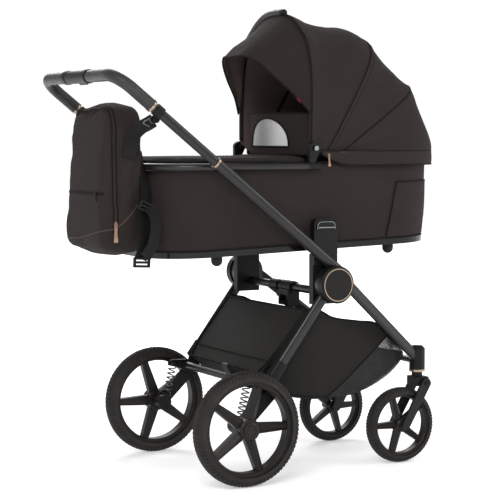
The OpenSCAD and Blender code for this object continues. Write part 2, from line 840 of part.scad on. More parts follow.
function half_profile(big_r, half) = [for (r = profile_radii(big_r)) [r, profile_half(r, big_r, half)]];

// Closed arch between an outer and an inner canopy profile, as radius and distance across.
function arch_points(big_r, half, thick_r, thick_y) =
    let (a = half_profile(big_r, half), b = half_profile(big_r - thick_r, half - thick_y), n = len(a))
    concat([for (p = a) p], [[big_r, 0]], [for (i = [n - 1 : -1 : 0]) [a[i][0], -a[i][1]]],
        [for (p = b) [p[0], -p[1]]], [[big_r - thick_r, 0]], [for (i = [n - 1 : -1 : 0]) b[i]]);

module arch_sector(big_r, half, thick_r, thick_y, a0, a1) {
    translate([hinge_x, 0, hinge_z]) rotate([90, 0, 0]) rotate([0, 0, a0])
        rotate_extrude(angle = a1 - a0) polygon(arch_points(big_r, half, thick_r, thick_y));
}

mid_angle = open_angle - section_angle * 2 + 14;
rear_angle = mid_angle - section_angle;

module canopy_section(level, a0, a1) {
    arch_sector(canopy_r + level * canopy_step, canopy_side + level * canopy_side_step, canopy_t,
        canopy_t * 0.7, a0, a1);
}

module bow(level, a) {
    arch_sector(canopy_r + level * canopy_step - canopy_t - bow_gap,
        canopy_side + level * canopy_side_step - canopy_t * 0.7 - 0.1, 6, 1.2, a, a + 2);
}

module canopy_rear() {
    color([0.2, 0.18, 0.17]) place() {
        canopy_section(2, -0.8, rear_angle + 1);
        difference() {
            translate([0, 0, rim_z + 1]) linear_extrude(30)
                rounded_plan(tub_x0, tub_head + skirt_lap, tub_w / 2 + skirt_lap, tub_corner + skirt_lap);
            translate([0, 0, rim_z - 5]) linear_extrude(31)
                rounded_plan(tub_x0, tub_head + 5, tub_w / 2 + 5, tub_corner + 5);
            translate([0, 0, rim_z - 5]) linear_extrude(50)
                rounded_plan(tub_x0, tub_head - 24, tub_w / 2 - 2, tub_corner - 2);
            translate([-500, -500, rim_z - 10]) cube([500 + hinge_x + 60, 1000, 100]);
        }
    }
}

module canopy_mid() {
    color([0.2, 0.18, 0.17]) place() canopy_section(1, rear_angle, mid_angle + 1);
}

module canopy_front() {
    color([0.2, 0.18, 0.17]) place() canopy_section(0, mid_angle, open_angle);
}

module bow_rear() {
    color("black") place() bow(2, rear_angle - 1);
}

module bow_mid() {
    color("black") place() bow(1, mid_angle - 1);
}

module bow_front() {
    color("black") place() bow(0, open_angle - 2.2);
}

// Sun visor: a curved sheet from the front bow down to its own lower edge.
function visor_bow(t) = let (a = 90 * t, r = 99 + (canopy_r - 101) * pow(max(0, cos(a)), 0.77))
    [hinge_x - 0.4, profile_half(r, canopy_r, canopy_side) * (a < 0 ? -1 : 1), hinge_z + r];
function visor_edge(t) = let (a = 90 * t)
    [hinge_x - 14 - 135 * pow(max(0, cos(a)), 0.9), 200 * sin(a), hinge_z + 99 + 150 * pow(max(0, cos(a)), 0.8)];
function mix(a, b, t) = a * (1 - t) + b * t;
function visor_point(t, u, lift) = mix(visor_bow(t), visor_edge(t), u) + [-18 * sin(180 * u), 0, 24 * sin(180 * u)]
    * cos(80 * t) + [0, 0, -lift];

module visor() {
    across = 24;
    down = 4;
    row = down + 1;
    count = (across + 1) * row;
    pts = [for (lift = [0, canopy_t]) for (i = [0 : across]) for (j = [0 : down])
        visor_point(-1 + 2 * i / across, j / down, lift)];
    top = [for (i = [0 : across - 1]) for (j = [0 : down - 1])
        [i * row + j, i * row + j + 1, (i + 1) * row + j + 1, (i + 1) * row + j]];
    under = [for (f = top) [for (k = [3 : -1 : 0]) f[k] + count]];
    sides_j = [for (i = [0 : across - 1]) for (j = [0, down])
        let (a = i * row + j, b = (i + 1) * row + j)
            j == 0 ? [a, b, b + count, a + count] : [b, a, a + count, b + count]];
    sides_i = [for (j = [0 : down - 1]) for (i = [0, across])
        let (a = i * row + j, b = i * row + j + 1)
            i == 0 ? [b, a, a + count, b + count] : [a, b, b + count, a + count]];
    color([0.2, 0.18, 0.17]) place() polyhedron(points = pts, faces = concat(top, under, sides_i, sides_j));
}

module canopy_hinges() {
    y0 = canopy_side + 2 * canopy_side_step + gap;
    color("black") place() both_sides() {
        plate(y0 + 0.2, y0 + 12) link([hinge_x - 8, rim_z + 2], [hinge_x, hinge_z], 9, 17);
        translate([hinge_x - 19.8, tub_w / 2 + rim_tube_r + 0.6, rim_z - 11]) rotate([0, 90, 0])
            cylinder(h = 34, r = rim_tube_r + 0.4);
        y_rod([hinge_x, hinge_z], 6, canopy_side - 8, y0 + 15);
    }
}

flap_z = apron_z + apron_t + 4.5 + 0.3 + 2.5;

module flap_outline(half, height, r) {
    translate([-half, 0]) square([2 * half, height - r]);
    translate([-half + r, 0]) square([2 * (half - r), height]);
    for (y = [-1, 1]) translate([y * (half - r), height - r]) circle(r);
}

module window_outline(grow) {
    translate([-86 - grow, 24 - grow]) square([172 + 2 * grow, 30 + grow]);
    translate([0, 54]) intersection() {
        circle(86 + grow);
        translate([-100, 0]) square([200, 100]);
    }
}

module wind_flap() {
    color([0.2, 0.18, 0.17]) place() {
        translate([flap_x - 1.5, 0, flap_z]) rotate([90, 0, 90]) linear_extrude(3) difference() {
            flap_outline(canopy_side - 20, 148, 60);
            window_outline(0.1);
        }
        translate([flap_x, canopy_side - 20, flap_z]) rotate([90, 0, 0])
            cylinder(h = 2 * (canopy_side - 20), r = 2.5);
    }
}

module flap_window() {
    color([0.7, 0.7, 0.72]) place() translate([flap_x - 0.6, 0, flap_z]) rotate([90, 0, 90])
        linear_extrude(1.2) window_outline(0);
}

upper_tubes();
front_legs();
hub_housings();
hub_discs();
trim_rings();
hub_pins();
adapter_posts();
adapter_button(1);  // adapter_button_left
adapter_button(-1);  // adapter_button_right
hub_cross_bar();
fold_lock_body();
fold_lock_slider();
swivel_housings();
front_cross_bar();
basket_panels();
basket_mesh();
rear_legs();
rear_brackets();
rear_axle_bar();
brake_pedal();
swing_arm(1);  // swing_arm_left
swing_arm(-1);  // swing_arm_right
rear_spring(1);  // rear_spring_left
rear_spring(-1);  // rear_spring_right
rear_rim(1, 36);  // rear_rim_left
rear_rim(-1, 0);  // rear_rim_right
rear_tyre(1);  // rear_tyre_left
rear_tyre(-1);  // rear_tyre_right
caster_fork(1);  // caster_fork_left
caster_fork(-1);  // caster_fork_right
fork_arms(1);  // fork_arms_left
fork_arms(-1);  // fork_arms_right
front_rim(1, 0);  // front_rim_left
front_rim(-1, 36);  // front_rim_right
front_tyre(1);  // front_tyre_left
front_tyre(-1);  // front_tyre_right
handle_bar();
handle_grips();
grip_rings();
handle_centre();
handle_lever();
bag_clips();
bag_body();
bag_straps();
tub_shell();
tub_base();
tub_feet();
rim_tube();
mattress();
apron();
canopy_hinges();
canopy_rear();
canopy_mid();
canopy_front();
bow_rear();
bow_mid();
bow_front();
visor();
wind_flap();
flap_window();
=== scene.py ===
import json
import math

import bpy
import numpy as np
from mathutils import Matrix, Vector

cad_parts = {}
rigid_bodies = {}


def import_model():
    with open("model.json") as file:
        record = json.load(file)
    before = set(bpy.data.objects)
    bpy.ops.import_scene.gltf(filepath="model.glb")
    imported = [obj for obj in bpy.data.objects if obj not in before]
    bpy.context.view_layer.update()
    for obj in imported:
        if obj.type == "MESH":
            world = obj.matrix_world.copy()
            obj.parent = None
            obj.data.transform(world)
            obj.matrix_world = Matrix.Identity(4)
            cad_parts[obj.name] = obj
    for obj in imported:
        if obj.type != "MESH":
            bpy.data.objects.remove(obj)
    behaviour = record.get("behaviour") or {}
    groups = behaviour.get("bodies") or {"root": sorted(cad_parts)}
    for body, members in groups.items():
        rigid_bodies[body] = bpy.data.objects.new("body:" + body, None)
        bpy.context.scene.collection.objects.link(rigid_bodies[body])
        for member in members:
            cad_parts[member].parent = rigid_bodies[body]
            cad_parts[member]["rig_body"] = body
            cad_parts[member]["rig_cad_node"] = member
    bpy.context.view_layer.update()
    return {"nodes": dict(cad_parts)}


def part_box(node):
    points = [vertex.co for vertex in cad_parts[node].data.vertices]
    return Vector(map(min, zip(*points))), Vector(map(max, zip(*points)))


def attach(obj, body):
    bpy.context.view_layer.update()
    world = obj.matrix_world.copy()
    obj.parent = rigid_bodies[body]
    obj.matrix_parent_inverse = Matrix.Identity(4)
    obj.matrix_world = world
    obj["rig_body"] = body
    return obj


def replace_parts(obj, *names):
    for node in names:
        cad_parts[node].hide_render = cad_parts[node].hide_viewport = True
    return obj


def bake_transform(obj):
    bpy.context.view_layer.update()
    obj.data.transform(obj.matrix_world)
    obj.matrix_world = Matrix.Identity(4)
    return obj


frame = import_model()

# Places ------------------------------------------------------------------------

tyre_low, tyre_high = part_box("rear_tyre_right")
hinge_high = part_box("canopy_hinges")[1]
AXLE_X = (tyre_low.x + tyre_high.x) / 2


def at(x, y, z):
    """A place in metres, from millimetres off the rear axle, the middle and the floor."""
    return Vector((AXLE_X + x / 1000, y / 1000, z / 1000))


def from_axle(x):
    return (x - AXLE_X) * 1000


HINGE_REACH = 17
PIVOT_X = from_axle(hinge_high.x) - HINGE_REACH
PIVOT_Z = hinge_high.z * 1000 - HINGE_REACH
TUB_LOW, TUB_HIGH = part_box("tub_shell")
RIM_Z = TUB_HIGH.z * 1000
TUB_X0 = from_axle(TUB_LOW.x)
TUB_X1 = from_axle(TUB_HIGH.x)
TUB_HALF = 205
TUB_CORNER = 150
TUB_DEPTH = 250
TUB_TILT = math.radians(1.9)
TUB_FLAT = TUB_HALF - TUB_CORNER
TUB_ARC = math.pi / 2 * TUB_CORNER
TUB_STRAIGHT = TUB_X1 - TUB_X0 - 2 * TUB_CORNER
TUB_ROUND = 4 * (TUB_FLAT + TUB_ARC) + 2 * TUB_STRAIGHT
MERGE = 0.00002

# Radii of round trims, in metres.
THICK_PIPING = 0.0028
PIPING = 0.0022
HEM = 0.0018
SLIM_PIPING = 0.0016
CORD_SEAM = 0.0011
STITCH = 0.0006


# Finishes ---------------------------------------------------------------------

def math_node(operation, swapped=False):
    """A Signal's operator, which adds one Math node."""
    def combine(self, other=None):
        first, second = (other, self) if swapped else (self, other)
        return self.combined(operation, first, second)
    return combine


class Signal:
    """A shader socket that takes part in sums."""

    def __init__(self, tree, socket):
        self.tree = tree
        self.socket = socket

    def combined(self, operation, first, second):
        node = self.tree.nodes.new("ShaderNodeMath")
        node.operation = operation
        for slot, value in zip(node.inputs, (first, second)):
            if isinstance(value, Signal):
                self.tree.links.new(value.socket, slot)
            elif value is not None:
                slot.default_value = value
        return Signal(self.tree, node.outputs[0])

    __add__ = math_node("ADD")
    __radd__ = math_node("ADD", True)
    __sub__ = math_node("SUBTRACT")
    __rsub__ = math_node("SUBTRACT", True)
    __mul__ = math_node("MULTIPLY")
    __rmul__ = math_node("MULTIPLY", True)
    sine = math_node("SINE")
    above = math_node("GREATER_THAN")
    most = math_node("MAXIMUM")


class Finish:
    """A material built from nodes round one Principled shader."""

    def __init__(self, name, slot, **constants):
        self.slot = slot
        self.material = bpy.data.materials.new(name)
        self.material.use_nodes = True
        self.tree = self.material.node_tree
        self.shader = self.tree.nodes["Principled BSDF"]
        for socket, value in constants.items():
            self.shader.inputs[socket.replace("_", " ")].default_value = value

    def node(self, kind, output=0, settings=None, **sockets):
        """Adds a node. A socket is given by its name, or by i and its number."""
        node = self.tree.nodes.new(kind)
        for name, value in (settings or {}).items():
            setattr(node, name, value)
        for name, value in sockets.items():
            numbered = name[0] == "i" and name[1:].isdigit()
            slot = node.inputs[int(name[1:]) if numbered else name]
            if isinstance(value, Signal):
                self.tree.links.new(value.socket, slot)
            else:
                slot.default_value = value
        return Signal(self.tree, node.outputs[output])

    def object_place(self):
        return self.node("ShaderNodeTexCoord", "Object")

    def uv_place(self):
        return self.node("ShaderNodeTexCoord", "UV")

    def parts(self, vector):
        node = self.tree.nodes.new("ShaderNodeSeparateXYZ")
        self.tree.links.new(vector.socket, node.inputs[0])
        return [Signal(self.tree, out) for out in node.outputs]

    def noise(self, vector, scale, detail=2.0, stretch=None):
        if stretch:
            vector = self.node("ShaderNodeMapping", Vector=vector, Scale=stretch)
        return self.node("ShaderNodeTexNoise", Vector=vector, Scale=scale, Detail=detail, Roughness=0.5)

    def ramp(self, factor, low, high, dark=0.0, light=1.0):
        return self.node("ShaderNodeMapRange", Value=factor, **{
            "From Min": low, "From Max": high, "To Min": dark, "To Max": light})

    def blend(self, factor, first, second):
        return self.node("ShaderNodeMix", 2, {"data_type": "RGBA"}, i0=factor, i6=first, i7=second)

    def feed(self, socket, signal):
        self.tree.links.new(signal.socket, self.shader.inputs[socket])

    def colour(self, mask, first, second):
        self.feed("Base Color", self.blend(mask, first, second))

    def roughness(self, tone, low, high, start=0.3, end=0.7):
        self.feed("Roughness", self.ramp(tone, start, end, low, high))

    def relief(self, height, depth, strength=1.0):
        self.feed("Normal", self.node("ShaderNodeBump", Height=height, Distance=depth, Strength=strength))


def shade(red, green, blue):
    """A colour from its screen values, 0 to 255."""
    screen = [c / 255 for c in (red, green, blue)]
    linear = [((c + 0.055) / 1.055) ** 2.4 if c > 0.04 else c / 12.92 for c in screen]
    return (*linear, 1)


def toned(colour, amount):
    return tuple(c * amount for c in colour[:3]) + (1,)


def waves(signal, length):
    """A wave along a coordinate, of a given length in metres."""
    return (signal * (2 * math.pi / length)).sine()


def moulded(name, slot, dark, light, roughness, grain_scale=1400, depth=0.00012):
    """Injection-moulded plastic with a fine spark-eroded grain and slightly paler handled patches."""
    finish = Finish(name, slot, Specular_IOR_Level=0.22)
    place = finish.object_place()
    handled = finish.noise(place, 14, 3)
    finish.colour(finish.ramp(handled, 0.35, 0.7), dark, light)
    finish.roughness(handled, roughness - 0.05, roughness + 0.06)
    finish.relief(finish.noise(place, grain_scale), depth, 0.6)
    return finish


def painted_tube():
    """Satin anthracite paint with fine metal flakes."""
    finish = Finish("satin_anthracite_tube", "frame_tube", Metallic=0.45, Coat_Weight=0.15)
    place = finish.object_place()
    flake = finish.noise(place, 2600, 1)
    cloud = finish.noise(place, 9, 3)
    paint = finish.blend(finish.ramp(cloud, 0.3, 0.7), shade(24, 22, 22), shade(33, 31, 31))
    finish.colour(finish.ramp(flake, 0.62, 0.75, 0, 0.35), paint, shade(62, 60, 58))
    finish.roughness(cloud, 0.34, 0.44)
    finish.relief(flake, 0.00003, 0.4)
    return finish


def brushed(name, slot, colour, roughness):
    """Plated or polished metal with fine lathe lines."""
    finish = Finish(name, slot, Metallic=1.0)
    place = finish.object_place()
    lines = finish.noise(place, 1.0, 3, (90, 1800, 90))
    finish.colour(finish.ramp(finish.noise(place, 60), 0.3, 0.7), colour, toned(colour, 0.8))
    finish.roughness(lines, roughness, roughness + 0.12)
    finish.relief(lines, 0.00003, 0.5)
    return finish


def woven(name, slot, base, light, on_uv=True, thread=0.0011, roughness=0.85):
    """Melange cloth: crossed threads, darker and paler yarns, and a soft nap."""
    finish = Finish(name, slot, Sheen_Weight=0.06, Sheen_Roughness=0.5, Specular_IOR_Level=0.18,
                    Sheen_Tint=shade(120, 108, 100))
    place = finish.uv_place() if on_uv else finish.object_place()
    x, y, z = finish.parts(place)
    warp = waves(x, thread)
    weft = waves(y, thread)
    threads = warp.most(weft) if on_uv else warp + weft + waves(z, thread)
    across = finish.noise(place, 1.0, 2, (1500, 160, 400))
    along = finish.noise(place, 1.0, 2, (160, 1500, 700))
    yarn = finish.ramp(across + along, 0.75, 1.25)
    cloud = finish.noise(place, 7, 3)
    finish.colour(finish.ramp(cloud, 0.4, 0.75, 0, 0.5), finish.blend(yarn, base, light), toned(base, 1.18))
    finish.roughness(yarn, roughness - 0.06, roughness + 0.06, 0, 1)
    finish.relief(threads + yarn, 0.00025, 0.7)
    return finish


def net_cloth():
    """Knitted net: small holes between crossed strands."""
    finish = Finish("basket_net", "mesh", Roughness=0.8)
    place = finish.uv_place()
    x, y = finish.parts(place)[:2]
    strand = 0.0032
    rows = waves(x + y, strand)
    cols = waves(x - y, strand)
    hole = (rows * cols).above(0.42)
    finish.colour(finish.noise(place, 300), shade(14, 13, 13), shade(26, 25, 24))
    finish.feed("Alpha", 1 - hole * 0.7)
    finish.relief(rows.most(cols), 0.0003, 0.8)
    return finish


def ribbed_webbing():
    """Flat woven strap with ribs along it and a fine twill across them."""
    finish = Finish("black_webbing", "webbing", Specular_IOR_Level=0.25)
    place = finish.uv_place()
    x, y = finish.parts(place)[:2]
    tone = finish.noise(place, 240)
    finish.colour(tone, shade(6, 6, 6), shade(16, 15, 15))
    finish.roughness(tone, 0.55, 0.72)
    finish.relief(waves(y, 0.0017) + waves(x + y, 0.0024) * 0.6, 0.0003, 0.8)
    return finish


def leatherette():
    """Black leatherette with pores between fine folds."""
    finish = Finish("black_leatherette", "leather", Coat_Weight=0.08)
    place = finish.object_place()
    edges = {"feature": "DISTANCE_TO_EDGE"}
    pores = finish.node("ShaderNodeTexVoronoi", "Distance", edges, Vector=place, Scale=650.0)
    folds = finish.noise(place, 160, 3)
    finish.colour(finish.ramp(finish.noise(place, 22, 3), 0.35, 0.7), shade(17, 15, 15), shade(29, 26, 25))
    finish.roughness(folds, 0.4, 0.55)
    finish.relief(finish.ramp(pores, 0, 0.12) + folds * 0.5, 0.0003, 0.7)
    return finish


def rubber():
    """Dusty tyre rubber."""
    finish = Finish("tyre_rubber", "tyre", Specular_IOR_Level=0.3)
    place = finish.object_place()
    dust = finish.noise(place, 30, 4)
    finish.colour(finish.ramp(dust, 0.35, 0.75), shade(27, 25, 24), shade(47, 43, 41))
    finish.roughness(dust, 0.62, 0.8)
    finish.relief(finish.noise(place, 900), 0.0003, 0.5)
    return finish


def window_film():
    """Silvery film with painted bands of reflected light and shade across its width, and faint ripples."""
    finish = Finish("window_film", "window", Coat_Weight=0.5)
    place = finish.object_place()
    y, z = finish.parts(place)[1:]
    # Painted light: a sine across the film's width stands in for reflected light on one side and shade on the
    # other.
    painted_light_bands = finish.ramp((y * 26 + z * 3 + 1.1).sine(), -1, 1)
    ripple = finish.noise(place, 1.0, 2, (6, 30, 9))
    # Painted shade (dark grey) and painted highlight (pale grey) of the film.
    finish.colour(painted_light_bands, shade(120, 120, 122), shade(214, 214, 214))
    finish.roughness(ripple, 0.18, 0.3)
    finish.relief(ripple, 0.002, 0.3)
    return finish


FABRIC = (shade(30, 25, 24), shade(47, 41, 39))
tube_paint = painted_tube()
black_plastic = moulded("black_plastic", "black_plastic", shade(6, 6, 6), shade(12, 12, 12), 0.5)
dark_plastic = moulded("dark_grey_plastic", "dark_plastic", shade(20, 19, 19), shade(31, 30, 29), 0.5)
wheel_plastic = moulded("wheel_plastic", "dark_plastic", shade(24, 21, 19), shade(36, 32, 30), 0.42)
cap_plastic = moulded("hub_cap_plastic", "cap_plastic", shade(15, 13, 11), shade(22, 19, 17), 0.55)
gloss_plastic = moulded("gloss_black_tray", "gloss_plastic", shade(11, 11, 11), shade(17, 17, 17),
                        0.14, 300, 0.00002)
foot_rubber = moulded("foot_rubber", "foot_rubber", shade(19, 19, 19), shade(30, 30, 29), 0.7)
gold_trim = brushed("pale_gold_trim", "gold_trim", shade(168, 150, 130), 0.26)
rose_gold = brushed("rose_gold_pull", "gold_trim", shade(150, 124, 110), 0.24)
steel = brushed("zinc_steel", "steel", shade(150, 150, 150), 0.3)
spring_steel = brushed("spring_steel", "spring_steel", shade(105, 103, 101), 0.25)
tyre_rubber = rubber()
leather = leatherette()
cloth = woven("charcoal_melange", "fabric", *FABRIC)
cloth_solid = woven("charcoal_melange_padded", "fabric", *FABRIC, False, 0.0013)
basket_cloth = woven("basket_cloth", "fabric", shade(20, 19, 18), shade(32, 31, 29), True, 0.0013, 0.75)
canopy_lining = woven("canopy_lining", "lining", shade(92, 80, 76), shade(112, 99, 94))
lining = woven("grey_lining", "lining", shade(58, 54, 51), shade(82, 77, 73), False, 0.0014)
piping_cloth = woven("dark_piping", "fabric", shade(9, 8, 8), shade(19, 17, 16), False, 0.0012)
pale_piping = woven("pale_piping", "fabric", shade(70, 61, 54), shade(92, 82, 74), False, 0.0012)
maroon_thread = woven("maroon_thread", "fabric", shade(48, 29, 29), shade(66, 42, 41), False, 0.0008)
red_tag = woven("red_tag", "fabric", shade(72, 16, 24), shade(98, 34, 40), False, 0.0008)
net = net_cloth()
webbing = ribbed_webbing()
film = window_film()

NODE_FINISHES = {
    tube_paint: ["upper_tubes", "front_legs", "rear_legs", "hub_cross_bar", "front_cross_bar",
                 "rear_axle_bar", "handle_bar", "rim_tube"],
    black_plastic: ["hub_housings", "adapter_posts", "swivel_housings", "fold_lock_body", "rear_brackets",
                    "swing_arm_left", "swing_arm_right", "caster_fork_left", "caster_fork_right",
                    "bag_clips", "canopy_hinges", "adapter_button_left", "adapter_button_right"],
    dark_plastic: ["fold_lock_slider", "brake_pedal", "fork_arms_left", "fork_arms_right", "handle_lever",
                   "handle_centre"],
    wheel_plastic: ["rear_rim_left", "rear_rim_right", "front_rim_left", "front_rim_right"],
    cap_plastic: ["hub_discs"],
    gold_trim: ["trim_rings", "grip_rings"],
    steel: ["hub_pins"],
    spring_steel: ["rear_spring_left", "rear_spring_right"],
    tyre_rubber: ["rear_tyre_left", "rear_tyre_right", "front_tyre_left", "front_tyre_right"],
    leather: ["handle_grips"],
    gloss_plastic: ["tub_base"],
    foot_rubber: ["tub_feet"],
}
for finish, names in NODE_FINISHES.items():
    for name in names:
        node = frame["nodes"][name]
        node.data.materials.clear()
        node.data.materials.append(finish.material)


# Making pieces ----------------------------------------------------------------

def alone(piece):
    bpy.ops.object.select_all(action="DESELECT")
    piece.select_set(True)
    bpy.context.view_layer.objects.active = piece


def begin(name, primitive, **settings):
    """Adds the primitive from which a piece is shaped."""
    bpy.ops.object.select_all(action="DESELECT")
    primitive(**settings)
    piece = bpy.context.object
    piece.name = name
    return piece


def edit(piece, operation, **settings):
    """Runs one mesh operator on the whole of a piece."""
    alone(piece)
    bpy.ops.object.mode_set(mode="EDIT")
    bpy.ops.mesh.select_all(action="SELECT")
    operation(**settings)
    bpy.ops.object.mode_set(mode="OBJECT")


def face_out(piece):
    edit(piece, bpy.ops.mesh.normals_make_consistent, inside=False)


def add_modifier(piece, kind, **settings):
    """Adds a modifier and applies it."""
    alone(piece)
    modifier = piece.modifiers.new(kind.lower(), kind)
    for name, value in settings.items():
        setattr(modifier, name, value)
    bpy.ops.object.modifier_apply(modifier=modifier.name)


def settle(piece):
    """Puts a piece's place into its mesh, so that its object sits at the origin."""
    alone(piece)
    bpy.ops.object.transform_apply(location=True, rotation=True, scale=True)


def pick_faces(piece, test):
    """Leaves a piece in edit mode with only the faces that pass a test selected."""
    alone(piece)
    bpy.ops.object.mode_set(mode="EDIT")
    bpy.ops.mesh.select_mode(type="FACE")
    bpy.ops.mesh.select_all(action="DESELECT")
    bpy.ops.object.mode_set(mode="OBJECT")
    for face in piece.data.polygons:
        face.select = test(face)
    bpy.ops.object.mode_set(mode="EDIT")


def smooth(piece, degrees=40):
    alone(piece)
    bpy.ops.object.shade_smooth_by_angle(angle=math.radians(degrees))


def span(first, last, count):
    return [first + (last - first) * i / count for i in range(count + 1)]


def row(place, v, count, *more):
    """Points of a surface place(u, v) along a row."""
    return [place(u, v, *more) for u in span(0, 1, count)]


def column(place, u, count):
    return [place(u, v) for v in span(0, 1, count)]


def length_of(points):
    return sum((b - a).length for a, b in zip(points, points[1:]))


def coat(piece, finish, body=None):
    """Gives a piece its finish, and lets it ride on a body."""
    piece.data.materials.clear()
    piece.data.materials.append(finish.material)
    if body:
        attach(piece, body)
    return piece


def patch(name, columns, rows, place, inside=None, wall=0.0, merge=False):
    """Cloth on a grid: place(u, v) gives each point, and the UV map is in metres."""
    piece = begin(name, bpy.ops.mesh.primitive_grid_add, x_subdivisions=columns, y_subdivisions=rows, size=1)
    points = [place(v.co.x + 0.5, v.co.y + 0.5) for v in piece.data.vertices]
    width = length_of(row(place, 0.5, 24))
    height = length_of(column(place, 0.5, 24))
    for vertex, point in zip(piece.data.vertices, points):
        vertex.co = point
    for loop in piece.data.uv_layers.active.data:
        loop.uv = (loop.uv[0] * width, loop.uv[1] * height)
    if merge:
        edit(piece, bpy.ops.mesh.remove_doubles, threshold=MERGE)
    piece.data.update()
    if inside is not None:
        outward = sum((f.center - inside).dot(f.normal) * f.area for f in piece.data.polygons)
        if outward < 0:
            edit(piece, bpy.ops.mesh.flip_normals)
    piece["outer_faces"] = len(piece.data.polygons)
    if wall:
        add_modifier(piece, "SOLIDIFY", thickness=wall, offset=-1.0)
    smooth(piece, 55)
    piece["flat_width"] = width
    piece["flat_height"] = height
    return piece


def line_inside(piece, finish):
    """Gives a sheet's inner face, which is the second third of its faces, a lining."""
    piece.data.materials.append(finish.material)
    outer = piece["outer_faces"]
    for face in piece.data.polygons:
        if outer <= face.index < 2 * outer:
            face.material_index = 1


def declare_sheet(piece):
    """Works out the flat size a sheet was cut to, from one of its two faces and its mean width; the result is
    not kept.
    """
    area = sum(f.area for f in piece.data.polygons) / 2
    width = piece["flat_width"]
    height = piece["flat_height"]
    if width * height < area:
        height = area / width


def round_line(name, points, radius, closed=False, sides=3):
    """A round piping, thread or wire along a line of points."""
    curve = bpy.data.curves.new(name, "CURVE")
    curve.dimensions = "3D"
    spline = curve.splines.new("POLY")
    spline.points.add(len(points) - 1)
    for knot, point in zip(spline.points, points):
        knot.co = (*point, 1)
    spline.use_cyclic_u = closed
    curve.bevel_depth = radius
    curve.bevel_resolution = sides
    curve.use_fill_caps = not closed
    piece = bpy.data.objects.new(name, curve)
    bpy.context.scene.collection.objects.link(piece)
    alone(piece)
    bpy.ops.object.convert(target="MESH")
    piece = bpy.context.object
    smooth(piece, 60)
    return piece


def trim(name, points, radius, finish, body=None, closed=False, sides=3):
    return coat(round_line(name, points, radius, closed, sides), finish, body)


def ribbon(name, points, normals, width, thick):
    """A flat band along a line of points, lying square to the normals."""
    points = [Vector(p) for p in points]
    count = len(points) - 1

    def place(u, v):
        spot = v * count
        i = min(int(spot), count - 1)
        share = spot - i
        tangent = (points[i + 1] - points[i]).normalized()
        normal = (normals[i].lerp(normals[i + 1], share)).normalized()
        side = tangent.cross(normal).normalized()
        return points[i].lerp(points[i + 1], share) + side * (u - 0.5) * width + normal * thick / 2
    piece = patch(name, 2, count, place)
    add_modifier(piece, "SOLIDIFY", thickness=thick, offset=0.0)
    face_out(piece)
    smooth(piece, 50)
    return piece


def block(name, centre, size, bevel):
    """A moulded block with rounded edges, sized in millimetres."""
    piece = begin(name, bpy.ops.mesh.primitive_cube_add, size=1, location=centre)
    piece.scale = [s / 1000 for s in size]
    settle(piece)
    add_modifier(piece, "BEVEL", width=bevel / 1000, segments=3, limit_method="ANGLE")
    smooth(piece)
    return piece


def button(name, centre, radius, depth, axis, bevel, dish):
    """A round cap with a bevelled rim and a dished face, sized in millimetres."""
    axis = Vector(axis)
    piece = begin(name, bpy.ops.mesh.primitive_cylinder_add, vertices=40, radius=radius / 1000,
                  depth=depth / 1000, location=centre, rotation=axis.to_track_quat("Z", "Y").to_euler())
    settle(piece)
    pick_faces(piece, lambda face: face.normal.dot(axis) > 0.9)
    bpy.ops.mesh.inset(thickness=radius * 0.2 / 1000)
    bpy.ops.mesh.inset(thickness=radius * 0.08 / 1000, depth=-dish / 1000)
    bpy.ops.object.mode_set(mode="OBJECT")
    add_modifier(piece, "BEVEL", width=bevel / 1000, segments=2, limit_method="ANGLE",
                 angle_limit=math.radians(40))
    smooth(piece)
    return piece


def join(name, pieces):
    """Makes one piece of several that share a finish."""
    bpy.ops.object.select_all(action="DESELECT")
    for piece in pieces:
        piece.select_set(True)
    bpy.context.view_layer.objects.active = pieces[0]
    bpy.ops.object.join()
    pieces[0].name = name
    return pieces[0]


def mirrored(piece, name):
    """The same piece on the other side, with its own mesh."""
    twin = piece.copy()
    twin.data = piece.data.copy()
    twin.name = name
    bpy.context.scene.collection.objects.link(twin)
    twin.data.transform(Matrix.Scale(-1, 4, (0, 1, 0)))
    twin.data.flip_normals()
    return twin


def easy(table, where):
    """A smooth value between a table's rows, which are place, then one or more values."""
    rows = [np.array(r, float) for r in table]
    i = max(0, min(len(rows) - 2, sum(1 for r in rows[1:-1] if r[0] <= where)))
    a = rows[max(i - 1, 0)]
    b = rows[i]
    c = rows[i + 1]
    d = rows[min(i + 2, len(rows) - 1)]
    t = min(1, max(0, (where - b[0]) / (c[0] - b[0])))
    gap = c[0] - b[0]
    slope_b = (c - a) / max(c[0] - a[0], 1e-9) * gap
    slope_c = (d - b) / max(d[0] - b[0], 1e-9) * gap
    value = ((2 * t ** 3 - 3 * t ** 2 + 1) * b + (t ** 3 - 2 * t ** 2 + t) * slope_b
             + (3 * t ** 2 - 2 * t ** 3) * c + (t ** 3 - t ** 2) * slope_c)
    return value[1:]


def eased(run, steps=4):
    """A smooth line through a run of places, with some steps between each two."""
    table = [(k * steps, *place) for k, place in enumerate(run)]
    return [at(*easy(table, i)) for i in range((len(run) - 1) * steps + 1)]


def normals_of(place, line, inside):
    """The outward normals of a surface place(u, v) along a line of (u, v)."""
    out = []
    step = 0.004
    for u, v in line:
        across = place(min(u + step, 1), v) - place(max(u - step, 0), v)
        along = place(u, min(v + step, 1)) - place(u, max(v - step, 0))
        normal = across.cross(along).normalized()
        if normal.dot(place(u, v) - inside) < 0:
            normal = -normal
        out.append(normal)
    return out


def lifted(place, line, inside, lift):
    """Points and normals of a line of (u, v) a little above a surface."""
    normals = normals_of(place, line, inside)
    return [place(u, v) + n * lift for (u, v), n in zip(line, normals)], normals


def hoop(centre, radius, y, count):
    """A circle of points round the y axis, to one side of a centre."""
    return [centre + Vector((math.cos(a) * radius, y, math.sin(a) * radius))
            for a in span(0, 2 * math.pi, count)][:-1]


# Canopy -----------------------------------------------------------------------

